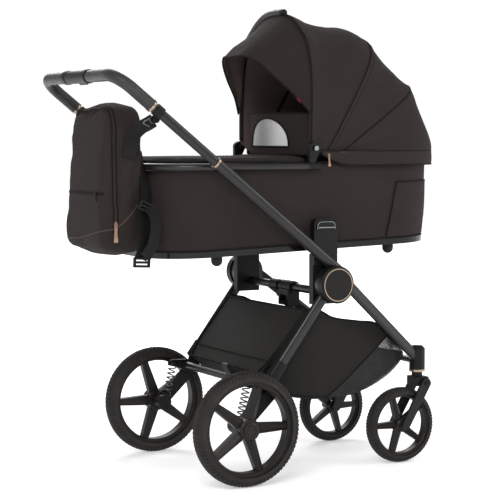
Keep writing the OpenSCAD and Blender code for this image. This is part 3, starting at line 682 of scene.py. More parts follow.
REAR_BOW = 26.5
MID_BOW = 52.0
FRONT_BOW = 89.0
CANOPY_HALF = 207
CANOPY_WALL = 0.0022
PANEL_DIP = 5
SKIRT_ANGLE = 14
HEAD_OVERHANG = 11
# Ridge radius by angle, in degrees above the pivot.
RIDGE = [(-1, 452), (0, 450), (5, 436), (12, 413), (18, 404), (23, 403), (26.5, 400), (29.5, 388), (33, 379),
         (38, 373), (43, 372), (48, 377), (51.5, 382), (55, 384), (59, 382), (63, 375), (67, 363), (71, 356),
         (75, 352), (80, 353), (84, 360), (88, 367), (90, 369)]
# Where the arch's two ends come down, from the pivot, by angle.
FEET = [(0, 82, -20), (26, 76, -22), (52, 45, -21), (66, 22, -8), (80, 4, 6), (90, -3, 12)]
# Arch from its crown to its foot: share of the way, share of the radius, share of the half-width.
ARCH = [(0, 1, 0), (0.11, 0.986, 0.264), (0.2, 0.947, 0.444), (0.29, 0.888, 0.605), (0.43, 0.77, 0.83),
        (0.57, 0.61, 0.94), (0.72, 0.42, 0.99), (0.86, 0.21, 1.0), (1, 0, 0.99)]
# The same for the head end, where the arch is squarer.
HEAD_ARCH = [(0, 1, 0), (0.11, 0.998, 0.28), (0.2, 0.985, 0.5), (0.29, 0.95, 0.71), (0.4, 0.865, 0.895),
             (0.52, 0.72, 0.975), (0.7, 0.47, 1.0), (0.86, 0.22, 1.0), (1, 0, 0.99)]
canopy_heart = at(PIVOT_X + 150, 0, PIVOT_Z + 60)


def skirt_plan(share, out, z, short=82):
    """Round the tub's head end at its rim, from the middle of the head to just short of the hinge."""
    overhang = HEAD_OVERHANG * max(0, 1 - share / 0.62) ** 0.8
    corner = TUB_X1 - TUB_CORNER
    reach = TUB_CORNER + out
    arc = math.pi / 2 * reach
    run = share * (TUB_FLAT + arc + corner - PIVOT_X - short)
    if run < TUB_FLAT:
        return at(TUB_X1 + out + overhang, run, z)
    if run < TUB_FLAT + arc:
        angle = (run - TUB_FLAT) / reach
        return at(corner + math.cos(angle) * reach + overhang, TUB_FLAT + math.sin(angle) * reach, z)
    return at(corner - (run - TUB_FLAT - arc), TUB_HALF + out, z)


def canopy_point(angle, across, out=0.0):
    """A point of the canopy's cloth: angle above the pivot, across from -1 to 1, moved out by millimetres."""
    share = abs(across)
    square = min(1, max(0, (80 - angle) / 45))
    reach, half = easy(ARCH, share) * (1 - square) + easy(HEAD_ARCH, share) * square
    radius = easy(RIDGE, angle)[0] + out
    foot_x, foot_z = easy(FEET, angle)
    turn = math.radians(angle)
    x = PIVOT_X + foot_x * (1 - reach) + math.cos(turn) * radius * reach
    z = PIVOT_Z + foot_z * (1 - reach) + math.sin(turn) * radius * reach
    if angle < MID_BOW:
        bay = min(1, max(0, (angle - 27) / 25))
    else:
        bay = (angle - MID_BOW) / 38
    dip = PANEL_DIP * math.sin(math.pi * bay) * math.sin(math.pi * share)
    point = at(x, half * (CANOPY_HALF + out) - dip, z)
    if angle < SKIRT_ANGLE:
        edge = skirt_plan(share, 12 + out, PIVOT_Z - 8)
        point = point.lerp(edge, ((SKIRT_ANGLE - angle) / SKIRT_ANGLE) ** 1.6)
    if across < 0:
        point.y = -point.y
    return point


def canopy_sector(first, last):
    def place(u, v):
        return canopy_point(first + (last - first) * v, 1 - 2 * u)
    return place


def arch_line(angle, first, last, count, out=0.0):
    return [canopy_point(angle, a, out) for a in span(first, last, count)]


CANOPY_PANELS = (
    ("canopy_head_panel", 30, REAR_BOW, 0, "canopy_rear", ["bow_rear", "tub_shell"]),
    ("canopy_middle_panel", 28, MID_BOW, REAR_BOW, "canopy_mid", ["bow_rear", "bow_mid"]),
    ("canopy_front_panel", 36, FRONT_BOW, MID_BOW, "canopy_front", ["bow_mid", "bow_front"]),
)
canopy_panels = []
for name, rows, first, last, node, bows in CANOPY_PANELS:
    panel = patch(name, 72, rows, canopy_sector(first, last), canopy_heart, CANOPY_WALL)
    coat(panel, cloth)
    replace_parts(panel, node)
    declare_sheet(panel)
    line_inside(panel, canopy_lining)
    canopy_panels.append(panel)
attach(canopy_panels[0], "carrycot")
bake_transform(canopy_panels[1])
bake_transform(canopy_panels[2])

# The sewn pockets that hold the bows, inside the cloth.
for name, angle, body, node, radius in (
        ("rear_bow_pocket", REAR_BOW, "carrycot", "bow_rear", 4),
        ("middle_bow_pocket", MID_BOW, "canopy_mid", "bow_mid", 4),
        ("front_bow_pocket", FRONT_BOW, "canopy_front", "bow_front", 5)):
    bow_line = arch_line(angle, 0.985, -0.985, 60, -2.4 - radius)
    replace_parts(trim(name, bow_line, radius / 1000, cloth_solid, body), node)


def canopy_seam(name, angle, end, radius, finish, body, out):
    trim(name, arch_line(angle, end, -end, 70, out), radius / 1000, finish, body, sides=2)


def zip_band(name, end, width, finish, out):
    line = [((1 - a) / 2, 0.5) for a in span(end, -end, 70)]
    points, normals = lifted(canopy_sector(MID_BOW + 2, MID_BOW - 2), line, canopy_heart, out / 1000)
    coat(ribbon(name, points, normals, width / 1000, 0.0012), finish, "canopy_mid")


# The opening's edge binding, the zipped seam over the middle bow and the piped seam over the rear bow.
canopy_seam("front_edge_binding", 89.6, 0.985, 1.8, piping_cloth, "canopy_front", -1.0)
zip_band("zip_tape", 0.97, 13, piping_cloth, 0.1)
zip_band("zip_cover", 0.975, 9, cloth_solid, 1.4)
for index, shift in enumerate((-1.55, 1.55)):
    canopy_seam(f"zip_stitching_{index + 1}", MID_BOW + shift, 0.96, 0.7, maroon_thread, "canopy_mid", 0.8)
canopy_seam("rear_bow_piping", REAR_BOW, 0.985, 1.9, piping_cloth, "carrycot", 0.2)
canopy_seam("rear_bow_stitching", REAR_BOW - 0.8, 0.97, 0.5, maroon_thread, "carrycot", 0.2)


def skirt_place(u, v):
    share = 1 - 2 * u
    rise = max(0, 1 - (1 - abs(share)) / 0.14)
    deep = 40 - 30 * rise ** 1.5
    out = 12.5 + 1.5 * math.sin(math.pi * v) - 4 * rise
    point = skirt_plan(abs(share), out, PIVOT_Z - 7 - deep * v, 25)
    point.y = math.copysign(point.y, share) if share else 0
    return point


skirt = patch("canopy_skirt", 96, 5, skirt_place, at(TUB_X1 - 200, 0, RIM_Z + 10), 0.002)
coat(skirt, cloth, "carrycot")
declare_sheet(skirt)
trim("skirt_piping", row(skirt_place, 0.03, 96), CORD_SEAM, piping_cloth, "carrycot")
trim("skirt_hem", row(skirt_place, 0.97, 96), HEM, piping_cloth, "carrycot")

# Visor: edge by share across, then place.
VISOR_EDGE = [(0, 100, 0, 1118), (0.3, 108, 56, 1119), (0.5, 132, 106, 1098), (0.67, 163, 140, 1059),
              (0.83, 203, 173, 1012), (1, 232, 205, 966)]
VISOR_REACH = 0.775
VISOR_SWELL = Vector((-0.003, 0, 0.001))
VISOR_DENT = Vector((0.012, -0.010, -0.008))
VISOR_FLARE = 0.005
visor_heart = at(PIVOT_X + 40, 0, PIVOT_Z + 120)


def visor_place(u, v):
    """The visor's cloth, swollen in its middle, flared at its sides and dented on the far side."""
    side = 2 * u - 1
    top = canopy_point(90, side * VISOR_REACH, -7)
    x, y, z = easy(VISOR_EDGE, abs(side))
    edge = at(x, math.copysign(y, side), z)
    swell = math.sin(math.pi * v) * (1 - abs(side) ** 2.2)
    flare = VISOR_FLARE * math.sin(math.pi * v) * math.sin(math.pi * abs(side))
    dent = max(0, side) ** 0.5 * max(0, math.sin(math.pi * v * 1.4)) * (1 - abs(side) ** 6)
    return (top.lerp(edge, v) + VISOR_SWELL * swell + VISOR_DENT * dent
            + Vector((0, math.copysign(flare, side), 0)))


visor = patch("visor_panel", 64, 18, visor_place, visor_heart, 0.0024)
coat(visor, cloth, "canopy_front")
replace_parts(visor, "visor")
declare_sheet(visor)
line_inside(visor, canopy_lining)
trim("visor_edge_piping", row(visor_place, 1.0, 64), PIPING, piping_cloth, "canopy_front")
trim("visor_seam", row(visor_place, 0.0, 64), 0.0012, piping_cloth, "canopy_front")

# Leather sleeve over the crown of the front bow, with a cuff at each end.
SLEEVE_ANGLE = 89.3
SLEEVE_ENDS = (-0.07, 0.66)
sleeve_line = arch_line(SLEEVE_ANGLE, SLEEVE_ENDS[1], SLEEVE_ENDS[0], 40, 2)
trim("crown_leather_sleeve", sleeve_line, 0.0095, leather, "canopy_front", sides=6)
for index, across in enumerate(SLEEVE_ENDS):
    cuff = arch_line(SLEEVE_ANGLE, across - 0.012, across + 0.012, 2, 2)
    trim(f"crown_sleeve_cuff_{index + 1}", cuff, 0.0102, black_plastic, "canopy_front", sides=6)

# Small woven tag, left blank, on the visor's near edge.
tag_line = [(u, 0.985) for u in span(0.052, 0.074, 6)]
tag_points, tag_normals = lifted(visor_place, tag_line, visor_heart, 0.0014)
coat(ribbon("blank_tag", tag_points, tag_normals, 0.008, 0.001), red_tag, "canopy_front")

# Wind flap ----------------------------------------------------------------------

FLAP_X = 211.0
FLAP_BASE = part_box("wind_flap")[0].z * 1000 + 2.5
FLAP_TOP = 968.0
FLAP_HEIGHT = FLAP_TOP - FLAP_BASE
FLAP_HALF = 198.0
FLAP_WRAP = 58.0
FLAP_BOW = -3
WINDOW_HALF = 103.0
WINDOW_LOW = FLAP_BASE + 22
WINDOW_HEIGHT = 953.0 - WINDOW_LOW
WINDOW_SIDE = 2.1
WINDOW_ARCH = 2.3
flap_back = at(FLAP_X + 200, 0, 920)


def flap_half(v):
    return FLAP_HALF - 3 * v


def flap_place(u, v):
    side = 2 * u - 1
    bow = FLAP_BOW * (1 - side ** 2) * math.sin(math.pi * min(1, 0.15 + v * 0.8))
    return at(FLAP_X + FLAP_WRAP * abs(side) ** 2.6 - bow, side * flap_half(v), FLAP_BASE + FLAP_HEIGHT * v)


def in_window(place):
    rise = (place.z * 1000 - WINDOW_LOW) / WINDOW_HEIGHT
    if not 0 <= rise < 1:
        return False
    return abs(place.y * 1000) < WINDOW_HALF * (1 - rise ** WINDOW_ARCH) ** (1 / WINDOW_SIDE)


def window_edge(share):
    """Round the window from its lower left corner, over the arch, to its lower right corner."""
    turn = math.pi * (1 - share)
    y = WINDOW_HALF * math.copysign(abs(math.cos(turn)) ** (2 / WINDOW_SIDE), math.cos(turn))
    z = WINDOW_LOW + WINDOW_HEIGHT * abs(math.sin(turn)) ** (2 / WINDOW_ARCH)
    return y, z


def on_flap(y, z, out=0.0):
    v = (z - FLAP_BASE) / FLAP_HEIGHT
    return flap_place((y / flap_half(v) + 1) / 2, v) - Vector((out / 1000, 0, 0))


def film_place(u, v):
    y, z = window_edge(u)
    return on_flap(y, WINDOW_LOW + (z - WINDOW_LOW) * v, -0.6)


flap = patch("wind_flap_cloth", 90, 30, flap_place, flap_back)
pick_faces(flap, lambda face: in_window(face.center))
bpy.ops.mesh.delete(type="FACE")
bpy.ops.object.mode_set(mode="OBJECT")
add_modifier(flap, "SOLIDIFY", thickness=0.002, offset=-1.0)
coat(flap, cloth, "wind_flap")
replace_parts(flap, "wind_flap")
declare_sheet(flap)
window_round = [on_flap(*window_edge(s), 0.4) for s in span(0, 1, 60)]
window_foot = [on_flap(y, WINDOW_LOW, 0.4) for y in span(WINDOW_HALF, -WINDOW_HALF, 20)][1:-1]
trim("window_piping", window_round + window_foot, 0.0024, piping_cloth, "wind_flap", closed=True)
window = patch("window_film", 60, 12, film_place, flap_back, 0.0006)
coat(window, film, "wind_flap")
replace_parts(window, "flap_window")
flap_edge = [point - Vector((0.001, 0, 0)) for point in row(flap_place, 0.99, 60)]
trim("flap_top_binding", flap_edge, PIPING, piping_cloth, "wind_flap")

# Tub ----------------------------------------------------------------------------

TRAY_LIP = 14
TUB_SEGMENTS = 168


def tub_plan(share, out):
    """Round the tub's outline, starting at the middle of its head, as x and y."""
    run = (share % 1) * TUB_ROUND
    legs = [("e", TUB_FLAT), ("ne", TUB_ARC), ("n", TUB_STRAIGHT), ("nw", TUB_ARC), ("w", 2 * TUB_FLAT),
            ("sw", TUB_ARC), ("s", TUB_STRAIGHT), ("se", TUB_ARC), ("end", TUB_FLAT)]
    for leg, length in legs:
        if run <= length or leg == "end":
            break
        run -= length
    foot_x = TUB_X0 + TUB_CORNER
    head_x = TUB_X1 - TUB_CORNER
    straight = {"e": (TUB_X1 + out, run), "n": (head_x - run, TUB_HALF + out),
                "w": (TUB_X0 - out, TUB_FLAT - run), "s": (foot_x + run, -TUB_HALF - out),
                "end": (TUB_X1 + out, -TUB_FLAT + run)}
    if leg in straight:
        return straight[leg]
    turn = math.radians({"ne": 0, "nw": 90, "sw": 180, "se": 270}[leg]) + run / TUB_CORNER
    centre_x = head_x if leg in ("ne", "se") else foot_x
    centre_y = TUB_FLAT if leg in ("ne", "nw") else -TUB_FLAT
    reach = TUB_CORNER + out
    return centre_x + reach * math.cos(turn), centre_y + reach * math.sin(turn)


def tub_place(u, v, out=0.0):
    """The tub's cloth side, from its rim down to the tray, swelling a little between its seams."""
    rough_x = tub_plan(u, 0)[0]
    low = RIM_Z - TUB_DEPTH + (rough_x - TUB_X0) * math.tan(TUB_TILT) + TRAY_LIP
    swell = 3.2 * math.sin(math.pi * v) * (0.7 + 0.3 * math.cos(u * 2 * math.pi * 6)) - 9.5 * v
    return at(*tub_plan(u, swell + out), RIM_Z + (low - RIM_Z) * v)


tub_heart = at((TUB_X0 + TUB_X1) / 2, 0, 720)
tub_skin = patch("tub_side_cloth", TUB_SEGMENTS, 16, tub_place, tub_heart, merge=True)
add_modifier(tub_skin, "SOLIDIFY", thickness=0.0045, offset=-1.0)
coat(tub_skin, cloth, "carrycot")
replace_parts(tub_skin, "tub_shell")
for name, v, out, radius, finish, sides in (
        ("tub_rim_piping", 0.006, 0.8, THICK_PIPING, piping_cloth, 3),
        ("tub_rim_stitching", 0.055, 0.3, STITCH, maroon_thread, 1),
        ("tub_tray_piping", 0.985, 1.0, PIPING, piping_cloth, 3)):
    line = row(tub_place, v, TUB_SEGMENTS, out)[:-1]
    trim(name, line, radius, finish, "carrycot", closed=True, sides=sides)

# Head-end pocket: a second layer of cloth wrapped round the head, with a bound top and side edges.
POCKET_X = 505
pocket_turn = math.acos(min(1, max(0, (POCKET_X - TUB_X1 + TUB_CORNER) / TUB_CORNER)))
pocket_run = TUB_FLAT + pocket_turn * TUB_CORNER + max(0, TUB_X1 - TUB_CORNER - POCKET_X)
POCKET_SHARE = pocket_run / TUB_ROUND


def pocket_place(u, v):
    side = 1 - 2 * u
    share = side * (POCKET_SHARE + 0.012 * v)
    puff = 2.2 + 1.6 * math.sin(math.pi * v) * (1 - side ** 8)
    return tub_place(share % 1, 0.26 + 0.7 * v, puff)


pocket = patch("head_pocket", 80, 12, pocket_place, tub_heart, 0.0016)
coat(pocket, cloth, "carrycot")
declare_sheet(pocket)
for name, line, radius, finish in (
        ("head_pocket_top_binding", [(u, 0.0) for u in span(0, 1, 80)], SLIM_PIPING, piping_cloth),
        ("head_pocket_left_seam", [(0.0, v) for v in span(0, 1, 16)], SLIM_PIPING, piping_cloth),
        ("head_pocket_right_seam", [(1.0, v) for v in span(0, 1, 16)], SLIM_PIPING, piping_cloth),
        ("head_pocket_stitching", [(u, 0.045) for u in span(0.01, 0.99, 80)], 0.0005, maroon_thread)):
    points = lifted(pocket_place, line, tub_heart, 0.0003)[0]
    trim(name, points, radius, finish, "carrycot", sides=2)

# Padded soft goods ----------------------------------------------------------------


def inflate(piece, pressure, cap):
    """Runs the cloth under pressure, then keeps each point within a cap of where it began."""
    before = [v.co.copy() for v in piece.data.vertices]
    alone(piece)
    modifier = piece.modifiers.new("cloth", "CLOTH")
    cloth_settings = {"quality": 5, "mass": 0.3, "tension_stiffness": 12, "compression_stiffness": 12,
                      "bending_stiffness": 0.6, "use_pressure": True, "uniform_pressure_force": pressure}
    for name, value in cloth_settings.items():
        setattr(modifier.settings, name, value)
    modifier.settings.effector_weights.gravity = 0
    scene = bpy.context.scene
    for step in range(1, 21):
        scene.frame_set(step)
    bpy.ops.object.modifier_apply(modifier=modifier.name)
    scene.frame_set(1)
    for vertex, start in zip(piece.data.vertices, before):
        move = vertex.co - start
        if move.length > cap / 1000:
            vertex.co = start + move.normalized() * cap / 1000


def pad(name, node, finish, body, voxel, rounds, reshape, pressure, cap):
    """A soft piece grown from a CAD solid: remeshed, rounded, reshaped and then inflated as cloth."""
    source = frame["nodes"][node]
    piece = source.copy()
    piece.data = source.data.copy()
    piece.name = name
    piece.parent = None
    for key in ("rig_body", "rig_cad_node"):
        if key in piece:
            del piece[key]
    bpy.context.scene.collection.objects.link(piece)
    edit(piece, bpy.ops.mesh.remove_doubles, threshold=MERGE)
    add_modifier(piece, "REMESH", mode="VOXEL", voxel_size=voxel)
    add_modifier(piece, "SMOOTH", iterations=rounds, factor=0.5)
    for vertex in piece.data.vertices:
        vertex.co = reshape(vertex.co)
    inflate(piece, pressure, cap)
    add_modifier(piece, "SMOOTH", iterations=4, factor=0.5)
    add_modifier(piece, "SUBSURF", levels=1, render_levels=1)
    alone(piece)
    bpy.ops.object.shade_smooth()
    coat(piece, finish, body)
    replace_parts(piece, node)
    return piece


APRON_LOW, APRON_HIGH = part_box("apron")
BAG_LOW, BAG_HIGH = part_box("bag_body")
BAG_X0 = from_axle(BAG_LOW.x)
BAG_X1 = from_axle(BAG_HIGH.x)
BAG_Z0 = BAG_LOW.z * 1000
BAG_Z1 = BAG_HIGH.z * 1000


def apron_shape(point):
    """Drawn down round its edge, and crowned in the middle."""
    x = (point.x - APRON_LOW.x) / (APRON_HIGH.x - APRON_LOW.x)
    y = point.y / APRON_HIGH.y
    lift = (point.z - APRON_LOW.z) / (APRON_HIGH.z - APRON_LOW.z)
    crown = max(0, 1 - y ** 4) * min(1, max(0, x / 0.25)) ** 0.5
    ripple = math.sin(point.x * 38 + 0.6) * 0.0010 * (1 - abs(y))
    return Vector((point.x, point.y, point.z + lift * (0.003 * crown + ripple - 0.004)))


def bag_shape(point):
    """Slimmer at the top, fuller and leaning out at the bottom."""
    up = max(0, (point.z - BAG_LOW.z) / (BAG_HIGH.z - BAG_LOW.z))
    deep = (point.x - BAG_LOW.x) / (BAG_HIGH.x - BAG_LOW.x)
    wide = point.y / BAG_HIGH.y
    outer = 1 - deep
    middle = 1 - wide ** 2
    x = point.x + outer * (0.026 * up ** 1.3 - 0.006)
    x += 0.005 * deep + 0.003 * deep * up
    x -= outer * 0.006 * middle * math.sin(math.pi * up)
    narrow = 0.9 - 0.06 * up ** 3 - 0.06 * max(0, 1 - up * 4) ** 2
    z = point.z + (0.001 + 0.012 * outer) * max(0, 1 - up * 2.5) - 0.006 * middle * max(0, 1 - up * 2)
    z -= 0.012 * max(0, up - 0.8) / 0.2 * max(0, wide * outer)
    return Vector((x, point.y * narrow, z))


pad("apron_cover", "apron", cloth_solid, "carrycot", 0.005, 3, apron_shape, 1.5, 5)
pad("mattress_pad", "mattress", lining, "carrycot", 0.008, 3, lambda point: point, 3, 6)
bag = pad("bag_shell", "bag_body", cloth_solid, "bag", 0.006, 9, bag_shape, 2.5, 7)

# Bag trims ----------------------------------------------------------------------

BAG_OUTSIDE = BAG_X0 - 200
ZIP_TURN = 132


def on_bag(x, y, z, heading, out):
    """Where a straight line from a point outside meets the bag, moved out, and the normal there."""
    start = at(x, y, z)
    hit, place, normal = bag.ray_cast(start, Vector(heading).normalized())[:3]
    if not hit:
        place, normal = bag.closest_point_on_mesh(start)[1:3]
    return place + normal * out / 1000, normal


def bag_gusset_line(depth):
    """Points and normals round the bag's sides and top, at a depth from its outer face."""
    found = []
    for turn in span(ZIP_TURN, -ZIP_TURN, 120):
        heading = Vector((0, -math.sin(math.radians(turn)), math.cos(math.radians(turn))))
        start = at(BAG_X0 + depth, 0, BAG_Z0 + 190) + heading * 0.5
        hit, place, normal = bag.ray_cast(start, -heading)[:3]
        if hit:
            found.append((place, normal))
    return found


def bag_side_line(first, last, count, out):
    """Points on the bag's right-hand side between two (x, z) places."""
    xs = span(first[0], last[0], count)
    zs = span(first[1], last[1], count)
    return [on_bag(x, -400, z, (0, 1, 0), out) for x, z in zip(xs, zs)]


def bag_trim(name, line, radius, finish, sides=3):
    trim(name, [p for p, n in line], radius, finish, "bag", sides=sides)


def bag_band(name, line, width, thick, finish, lift=0.0):
    band = ribbon(name, [p + n * lift for p, n in line], [n for p, n in line], width, thick)
    coat(band, finish, "bag")


zip_run = bag_gusset_line(25)
bag_band("bag_zip_tape", zip_run, 0.013, 0.0012, piping_cloth, 0.0004)
bag_band("bag_zip_cover", zip_run, 0.006, 0.0012, cloth_solid, 0.0012)
for index, depth in enumerate((17.5, 33.5)):
    stitches = [(p + n * 0.0004, n) for p, n in bag_gusset_line(depth)]
    bag_trim(f"bag_zip_stitching_{index + 1}", stitches, STITCH, maroon_thread, 1)
pocket_zip = [on_bag(BAG_OUTSIDE, y, BAG_Z0 + 157, (1, 0, 0), 0.5) for y in span(112, -112, 40)]
bag_band("bag_pocket_zip", pocket_zip, 0.006, 0.0014, piping_cloth)
# A pale piped line that rises over the outer face, round the corner and along the side.
chevron_face = [on_bag(BAG_OUTSIDE, 128 - 216 * t, BAG_Z0 + 34 + 23 * t ** 2.2, (1, 0, 0), 0.3)
                for t in span(0, 1, 40)]
chevron_corner = [on_bag(BAG_X0 + 34 - 200 * math.cos(a), -92 - 200 * math.sin(a), BAG_Z0 + 57 + 9 * a,
                         (math.cos(a), math.sin(a), 0), 0.3) for a in span(0.1, 1.45, 12)]
chevron_side = bag_side_line((BAG_X0 + 38, BAG_Z0 + 78), (BAG_X1 - 2, BAG_Z0 + 132), 24, 0.3)
bag_trim("bag_base_piping", chevron_face + chevron_corner + chevron_side, 0.0013, pale_piping)
side_top = bag_side_line((BAG_X0 + 46, BAG_Z1 - 128), (BAG_X1 - 4, BAG_Z1 - 126), 16, 1.0)
bag_trim("bag_side_pocket_edge", side_top, HEM, piping_cloth)
side_seam = bag_side_line((BAG_X0 + 46, BAG_Z1 - 60), (BAG_X1 - 8, BAG_Z1 - 57), 16, 0.3)
bag_trim("bag_top_seam", side_seam, CORD_SEAM, maroon_thread)


def pull_tab(name, place, normal, down, length, width, finish, body):
    """A zip slider with its hanging puller, a tapered bar narrower at its waist."""
    down = Vector(down).normalized()
    normal = Vector(normal).normalized()
    side = down.cross(normal).normalized()
    bar = begin(name, bpy.ops.mesh.primitive_cube_add, size=1)
    edit(bar, bpy.ops.mesh.subdivide, number_cuts=3)
    for vertex in bar.data.vertices:
        along = vertex.co.x + 0.5
        waist = 1 - 0.35 * math.sin(math.pi * min(1, along * 1.25))
        thick = 0.0026 - 0.0010 * along
        vertex.co = (place + down * along * length + side * vertex.co.y * width * waist
                     + normal * (0.0032 + vertex.co.z * thick))
    add_modifier(bar, "BEVEL", width=0.0004, segments=2, limit_method="ANGLE")
    seat = place + normal * 0.002
    slider = block(name + "_slider", seat, (9, 6, 4), 1.2)
    turn = Matrix((down, side, normal)).transposed().to_4x4()
    slider.data.transform(Matrix.Translation(seat) @ turn @ Matrix.Translation(-seat))
    piece = join(name, [bar, slider])
    face_out(piece)
    smooth(piece)
    coat(piece, finish, body)


zip_end, zip_end_normal = zip_run[1]
pull_tab("bag_zip_pull", zip_end + Vector((0, 0, 0.006)), zip_end_normal, (0, 0, -1), 0.050, 0.011,
         rose_gold, "bag")
pocket_end, pocket_normal = pocket_zip[-5]
pull_tab("bag_pocket_pull", pocket_end, pocket_normal, (0, 0, -1), 0.020, 0.006, black_plastic, "bag")
canopy_zip_end = canopy_point(MID_BOW - 2, -0.965, 3) + Vector((-0.014, -0.004, -0.014))
pull_tab("canopy_zip_pull", canopy_zip_end, (0, -1, 0), (0.1, 0, -1), 0.030, 0.008, rose_gold, "canopy_mid")

# Basket ---------------------------------------------------------------------------

# Side outline: share of the way from the rear panel to the split, then the top and the bottom edge.
BASKET_TOP = [(0, 205, 445), (0.2, 256, 438), (0.35, 300, 417), (0.6, 384, 402), (0.82, 452, 391),
              (1, 494, 354)]
BASKET_LOW = [(0, 76, 286), (0.2, 118, 243), (0.45, 166, 213), (0.7, 222, 201), (0.9, 262, 197),
              (1, 286, 197)]
BASKET_KEEL = [(0, 77, 283), (0.12, 118, 243), (0.25, 166, 214), (0.42, 240, 201), (0.58, 330, 197),
               (0.72, 400, 202), (0.85, 480, 233), (0.94, 545, 272), (1, 560, 300)]
BASKET_FRONT = [(0, 545, 318), (0.3, 556, 290), (0.55, 500, 243), (0.8, 400, 205), (1, 288, 197)]
# The net's rear edge, as x and z, from the split's top to its bottom.
SPLIT_TOP = Vector((494, 354))
SPLIT_LOW = Vector((286, 197))
REAR_TOP = Vector((207, 442))
REAR_LOW = Vector((78, 281))
BASKET_HALF = 219
basket_heart = at(300, 0, 330)


def basket_half(x):
    return BASKET_HALF - max(0, x - 250) * 0.158


def basket_side_place(u, v):
    x, z = Vector(easy(BASKET_TOP, u)).lerp(Vector(easy(BASKET_LOW, u)), v)
    swell = 5 * math.sin(math.pi * v) * math.sin(math.pi * min(1, u + 0.05))
    return at(x, basket_half(x) + swell - 20 * v ** 6, z)


def basket_nose_place(u, v):
    """The net at a side, between the split and the front."""
    x, z = SPLIT_TOP.lerp(SPLIT_LOW, v).lerp(Vector(easy(BASKET_FRONT, v)), u)
    crumple = 3.5 * math.sin(x * 0.11 + z * 0.05) * math.sin(math.pi * u) * math.sin(math.pi * v)
    return at(x, basket_half(x) - 6 * u + crumple - 18 * v ** 6, z)


def basket_keel_place(u, v):
    """The net floor, which sags between its sides and rises at the front."""
    x, z = easy(BASKET_KEEL, u)
    side = 1 - 2 * v
    sag = 7 * (1 - side ** 2) * math.sin(math.pi * u)
    crumple = 2.5 * math.sin(x * 0.09 + side * 5) * (1 - side ** 4) * (1 if x > 300 else 0.2)
    return at(x, (basket_half(x) - 18) * side, z - sag + crumple)


def basket_rear_place(u, v):
    side = 1 - 2 * u
    x, z = REAR_TOP.lerp(REAR_LOW, v)
    slack = 4 * (1 - side ** 2) * math.sin(math.pi * v)
    return at(x - slack, side * BASKET_HALF, z - slack * 0.6)


side_left = patch("basket_side_left", 36, 22, basket_side_place, basket_heart, 0.002)
nose_left = patch("basket_net_left", 18, 20, basket_nose_place, basket_heart, 0.0012)
keel = patch("basket_net_floor", 60, 28, basket_keel_place, basket_heart, 0.0012)
rear_panel = patch("basket_rear_panel", 40, 24, basket_rear_place, basket_heart, 0.002)
basket_sheets = [
    (side_left, basket_cloth), (mirrored(side_left, "basket_side_right"), basket_cloth),
    (nose_left, net), (mirrored(nose_left, "basket_net_right"), net), (keel, net), (rear_panel, basket_cloth)]
basket_pieces = []
for piece, finish in basket_sheets:
    basket_pieces.append(coat(piece, finish))
    declare_sheet(piece)
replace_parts(side_left, "basket_panels")
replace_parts(keel, "basket_mesh")

# Hems and bindings of the basket: those of its left side are mirrored to the right.
for name, line, radius in (
        ("top_hem", row(basket_side_place, 0.0, 40) + row(basket_nose_place, 0.0, 10), THICK_PIPING),
        ("split_binding", column(basket_side_place, 1.0, 30), PIPING),
        ("lower_piping", row(basket_side_place, 0.97, 40), 0.0020),
        ("rear_piping", column(basket_rear_place, 0.005, 20), PIPING)):
    left = trim(f"basket_{name}_left", line, radius, piping_cloth)
    basket_pieces += [left, mirrored(left, f"basket_{name}_right")]
rear_hem = [point - Vector((0.001, 0, 0)) for point in row(basket_rear_place, 0.80, 30)]
for name, line, radius in (
        ("rear_hem", rear_hem, SLIM_PIPING),
        ("rear_top_hem", row(basket_rear_place, 0.0, 30), 0.003),
        ("rear_foot_hem", row(basket_rear_place, 1.0, 30), 0.003),
        ("front_hem", column(basket_keel_place, 1.0, 24), 0.003)):
    basket_pieces.append(trim(f"basket_{name}", line, radius, piping_cloth))
for piece in basket_pieces:
    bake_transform(piece)

# Wheels ---------------------------------------------------------------------------

# Rows of lugs round a tyre: inner and outer angle in degrees, height in metres, and slant.
LUG_ROWS = ((10, 30, 0.0014, 0.9), (34, 64, 0.0024, -0.7))
LUG_TOP = 0.30
LUG_FOOT = 0.42


def wheel_of(node):
    """The middle of a wheel, its radius and its half-width, from its tyre."""
    low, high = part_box(node)
    return (low + high) / 2, (high.z - low.z) / 2, (high.y - low.y) / 2


def ring_of(piece, count, centre):
    """Repeats a piece round a wheel's axle."""
    guide = bpy.data.objects.new("guide", None)
    bpy.context.scene.collection.objects.link(guide)
    turn = Matrix.Rotation(2 * math.pi / count, 4, "Y")
    guide.matrix_world = Matrix.Translation(centre) @ turn @ Matrix.Translation(-centre)
    bpy.context.view_layer.update()
    add_modifier(piece, "ARRAY", count=count, use_relative_offset=False, use_object_offset=True,
                 offset_object=guide)
    bpy.data.objects.remove(guide)


def tread(name, node, pitch, body):
    """Slanted lugs on both shoulders of a tyre."""
    centre, radius, half = wheel_of(node)
    rings = []
    for side in (1, -1):
        for inner, outer, proud, slant in LUG_ROWS:
            lug = begin("lug", bpy.ops.mesh.primitive_cube_add, size=1)
            edit(lug, bpy.ops.mesh.subdivide, number_cuts=1)
            for vertex in lug.data.vertices:
                along = vertex.co.x + 0.5
                top = vertex.co.z > 0.1
                tilt = math.radians(inner + (outer - inner) * along)
                reach = half + (proud if top else -0.001)
                taper = LUG_TOP if top else LUG_FOOT
                shift = (vertex.co.y * 2 * taper * 0.62 + slant * along) * pitch / radius
                away = radius - half + reach * math.cos(tilt)
                vertex.co = centre + Vector((away * math.sin(shift), side * reach * math.sin(tilt),
                                             away * math.cos(shift)))
            ring_of(lug, round(2 * math.pi * radius / pitch), centre)
            rings.append(lug)
    piece = join(name, rings)
    face_out(piece)
    coat(piece, tyre_rubber, body)


